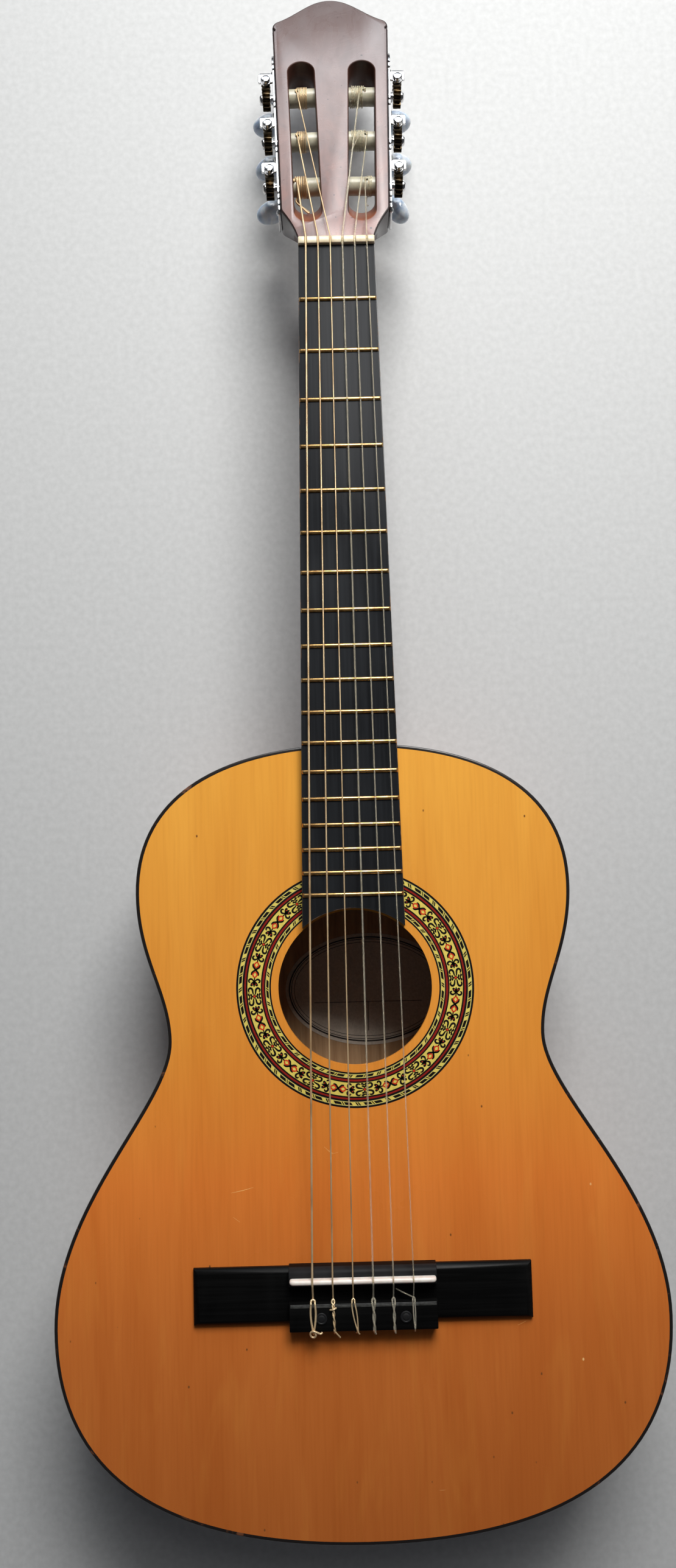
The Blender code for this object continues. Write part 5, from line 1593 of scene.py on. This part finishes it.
def tie_line(number):
    """The knot on the tie block, from the string's tail to where it goes in behind."""
    x0 = saddle_x(number)
    radius = STRING_RADII[number - 1]
    wide, turns, lean, tail = TIES[number]
    top = BLOCK_TOP + radius + 0.15
    back, front = BLOCK_BACK_Y + 1.2, TIE_FRONT_Y - 0.7
    steps = max(6, int(8 * turns))

    def strand(way, forward):
        points = []
        for step in range(steps + 1):
            place = step / steps if forward else 1.0 - step / steps
            phase = 2.0 * math.pi * turns * place + (0.0 if way > 0 else math.pi)
            spread = math.sin(math.pi * (0.06 + 0.62 * place))
            swing = math.cos(phase) * (0.55 + 0.45 * place) if turns else way * spread
            rise = (1.0 + math.sin(phase)) * radius if turns else 0.25 * (1.0 + way) * radius
            points.append((x0 + lean * (1.0 - place) + 0.5 * wide * swing,
                           back + (front - back) * place, top + rise))
        return points

    line = [(x0 + dx, BLOCK_BACK_Y + dy, top + dz) for dx, dy, dz in tail]
    line += strand(1.0, True)
    reach = 0.16 * wide + 1.15 * radius
    line += [(x0 + reach, TIE_FRONT_Y + 0.4, top + 0.1),
             (x0 + 0.9 * reach, TIE_FRONT_Y + 1.4, top - 1.2),
             (x0, TIE_FRONT_Y + 2.0, top - 1.5),
             (x0 - 0.9 * reach, TIE_FRONT_Y + 1.4, top - 1.2),
             (x0 - reach, TIE_FRONT_Y + 0.4, top + 0.1)]
    line += strand(-1.0, False)
    line += [(x0 + 0.8 * lean, BLOCK_BACK_Y - 0.2 - radius, BLOCK_TOP - 0.8),
             (x0 + 0.4 * lean, BLOCK_BACK_Y - 0.5 - radius, BLOCK_TOP - 3.2),
             (x0, BLOCK_BACK_Y + 0.6, CHANNEL_TOP + 1.5)]
    return line


def string_line(number):
    """A string's centre line, from its tie over the saddle and nut to its roller."""
    radius = STRING_RADII[number - 1]
    x, nut_x = saddle_x(number), 0.5 * NUT_SPAN * string_share(number)
    sign, along = tuner_place(number)
    landing = Vector((-sign * COIL_PLACES[number][2], along,
                      ROLLER_C + ROLLER_RADIUS + radius + 0.02))
    end = side_frame(sign) @ (landing * MM) / MM
    past = side_frame(sign) @ ((landing + Vector((0.0, 1.6, -0.3))) * MM) / MM
    nut_z = NUT_TOP - radius - 0.45
    leave = Vector((nut_x, SCALE_LENGTH + NUT_LENGTH + 0.2, nut_z - 0.6))
    inside = [(x, TIE_FRONT_Y - 4.0, CHANNEL_TOP + 2.2), (x, TIE_FRONT_Y + 0.6, CHANNEL_TOP + 2.8)]
    return smooth_line(tie_line(number) + inside, 5) + [
        Vector((x, SADDLE_Y - 2.2, SADDLE_TOP - 0.75 + radius)),
        Vector((x, SADDLE_Y - 0.7, SADDLE_TOP + radius - 0.05)),
        Vector((x, SADDLE_Y + 0.6, SADDLE_TOP + radius + 0.02)),
        Vector((nut_x, SCALE_LENGTH + 0.3, nut_z)),
        Vector((nut_x, SCALE_LENGTH + 1.6, nut_z + 0.02)),
        Vector((nut_x, SCALE_LENGTH + 3.4, nut_z - 0.25)),
        leave + 0.01 * (end - leave), end, past]


def build_string(number):
    radius = STRING_RADII[number - 1]
    finish, slot = (NYLON, "nylon_string") if number < 4 else (WOUND, "wound_string")
    lines = [string_line(number)]
    if number in LOOSE_ENDS:
        foot = Vector((saddle_x(number), TIE_FRONT_Y, BLOCK_TOP + radius + 0.15))
        lines.append(smooth_line([foot + Vector(offset) for offset in LOOSE_ENDS[number]], 4))
    dress(tube("strand_%d" % number, lines, radius, 10), finish, smooth=60.0,
          stands_for=["string_%d" % number])
    build_coil(number, finish)


def build_coil(number, finish):
    """The turns of string on a roller, their knot and the loose tail, which turn with it."""
    sign, _ = tuner_place(number)
    radius = STRING_RADII[number - 1]
    first, last, _ = COIL_PLACES[number]
    wrap = ROLLER_RADIUS + radius
    pitch = 2.0 * radius + 0.16
    way = 1.0 if last > first else -1.0
    coil = [(first, 0.0, ROLLER_RADIUS - 2.0)]
    for step in range(int(20 * abs(last - first) / pitch) + 1):
        turned_by = step / 20.0
        wobble = 0.12 * radius * math.sin(2.3 * turned_by + number)
        angle = 0.35 + 2.0 * math.pi * turned_by
        coil.append((first + way * (pitch * turned_by + wobble), wrap * math.sin(angle),
                     wrap * math.cos(angle)))
    knot = []
    for step in range(14):
        angle = 2.0 * math.pi * step / 7
        knot.append((first - way * (0.9 + 0.35 * math.cos(angle)), 0.9 * math.sin(angle),
                     wrap + 0.2 + 0.25 * math.cos(2.0 * angle)))
    lines = [coil, knot]
    if number in COIL_TAILS:
        steps, tail = COIL_TAILS[number]
        lines.insert(1, smooth_line(tail, steps))
    lines = [[(-sign * inward, y, z) for inward, y, z in line] for line in lines]
    dress(tube("coil_%d" % number, lines, radius, 8), finish, "tuner_%d_roller" % number,
          smooth=60.0, matrix=machine_matrix(number))


# ------------------------------------------------------------------------- the stage

FLOOR_SIZE = 16000.0
# The world lights the guitar faintly, while the camera sees a plain grey behind it
AMBIENT_COLOUR = (0.88, 0.92, 1.0, 1.0)
AMBIENT_STRENGTH = 0.06
BACKDROP_COLOUR = (0.40, 0.40, 0.40, 1.0)
# Area lights in metres and watts: place, aim, size, power and colour
AREA_LIGHTS = {
    "window": ((0.22, 1.27, 1.06), (0.0, 0.28, 0.05), (0.8, 0.55), 21.0, (1.0, 0.985, 0.96)),
    "sky_panel": ((0.10, 2.30, 0.95), (0.0, 0.62, 0.08), (1.5, 0.7), 12.0, (0.86, 0.94, 1.0)),
}
DAYLIGHT_WAY = Vector((-0.15, -0.8, -0.75))
DAYLIGHT_STRENGTH = 0.55
DAYLIGHT_SPREAD = 30.0
CAMERA_PLACE = (-0.0082, 0.2212, 0.7106)
CAMERA_TURN = (0.0737, -0.0005, -0.0247)
SENSOR_WIDTH = 36.0
FOCAL_LENGTH = 58.88


def build_world():
    world = bpy.data.worlds.new("studio")
    world.use_nodes = True
    nodes, links = world.node_tree.nodes, world.node_tree.links
    ambient = nodes["Background"]
    ambient.inputs["Color"].default_value = AMBIENT_COLOUR
    ambient.inputs["Strength"].default_value = AMBIENT_STRENGTH
    backdrop = nodes.new("ShaderNodeBackground")
    backdrop.inputs["Color"].default_value = BACKDROP_COLOUR
    rays = nodes.new("ShaderNodeLightPath")
    choice = nodes.new("ShaderNodeMixShader")
    links.new(rays.outputs["Is Camera Ray"], choice.inputs[0])
    links.new(ambient.outputs[0], choice.inputs[1])
    links.new(backdrop.outputs[0], choice.inputs[2])
    links.new(choice.outputs[0], nodes["World Output"].inputs["Surface"])
    bpy.context.scene.world = world
    bpy.context.scene.view_settings.view_transform = "Standard"


def build_lights():
    for name, (place, aim, size, power, colour) in AREA_LIGHTS.items():
        lamp = bpy.data.lights.new(name, "AREA")
        lamp.shape = "RECTANGLE"
        lamp.size, lamp.size_y = size
        lamp.energy = power
        lamp.color = colour
        holder = linked(name, lamp)
        holder.location = place
        holder.rotation_euler = (Vector(aim) - Vector(place)).to_track_quat("-Z", "Y").to_euler()
    daylight = bpy.data.lights.new("daylight", "SUN")
    daylight.energy = DAYLIGHT_STRENGTH
    daylight.angle = math.radians(DAYLIGHT_SPREAD)
    linked("daylight", daylight).rotation_euler = DAYLIGHT_WAY.to_track_quat("-Z", "Y").to_euler()


def build_camera():
    lens = bpy.data.cameras.new("camera")
    lens.sensor_fit = "HORIZONTAL"
    lens.sensor_width = SENSOR_WIDTH
    lens.lens = FOCAL_LENGTH
    lens.clip_start = 0.01
    camera = linked("camera", lens)
    camera.location = CAMERA_PLACE
    camera.rotation_euler = CAMERA_TURN
    bpy.context.scene.camera = camera


def build_stage():
    work = bmesh.new()
    bmesh.ops.create_grid(work, x_segments=1, y_segments=1, size=FLOOR_SIZE)
    floor = object_of("floor", work)
    floor.data.materials.append(floor_finish())
    build_world()
    build_lights()
    build_camera()


build_soundbox()
build_rosette()
build_scratches()
build_neck()
build_fingerboard()
build_frets()
build_nut()
build_bridge()
build_plates()
for string_number in range(1, STRING_COUNT + 1):
    build_roller(string_number)
    build_worm(string_number)
    build_string(string_number)
build_stage()

bpy.context.view_layer.update()
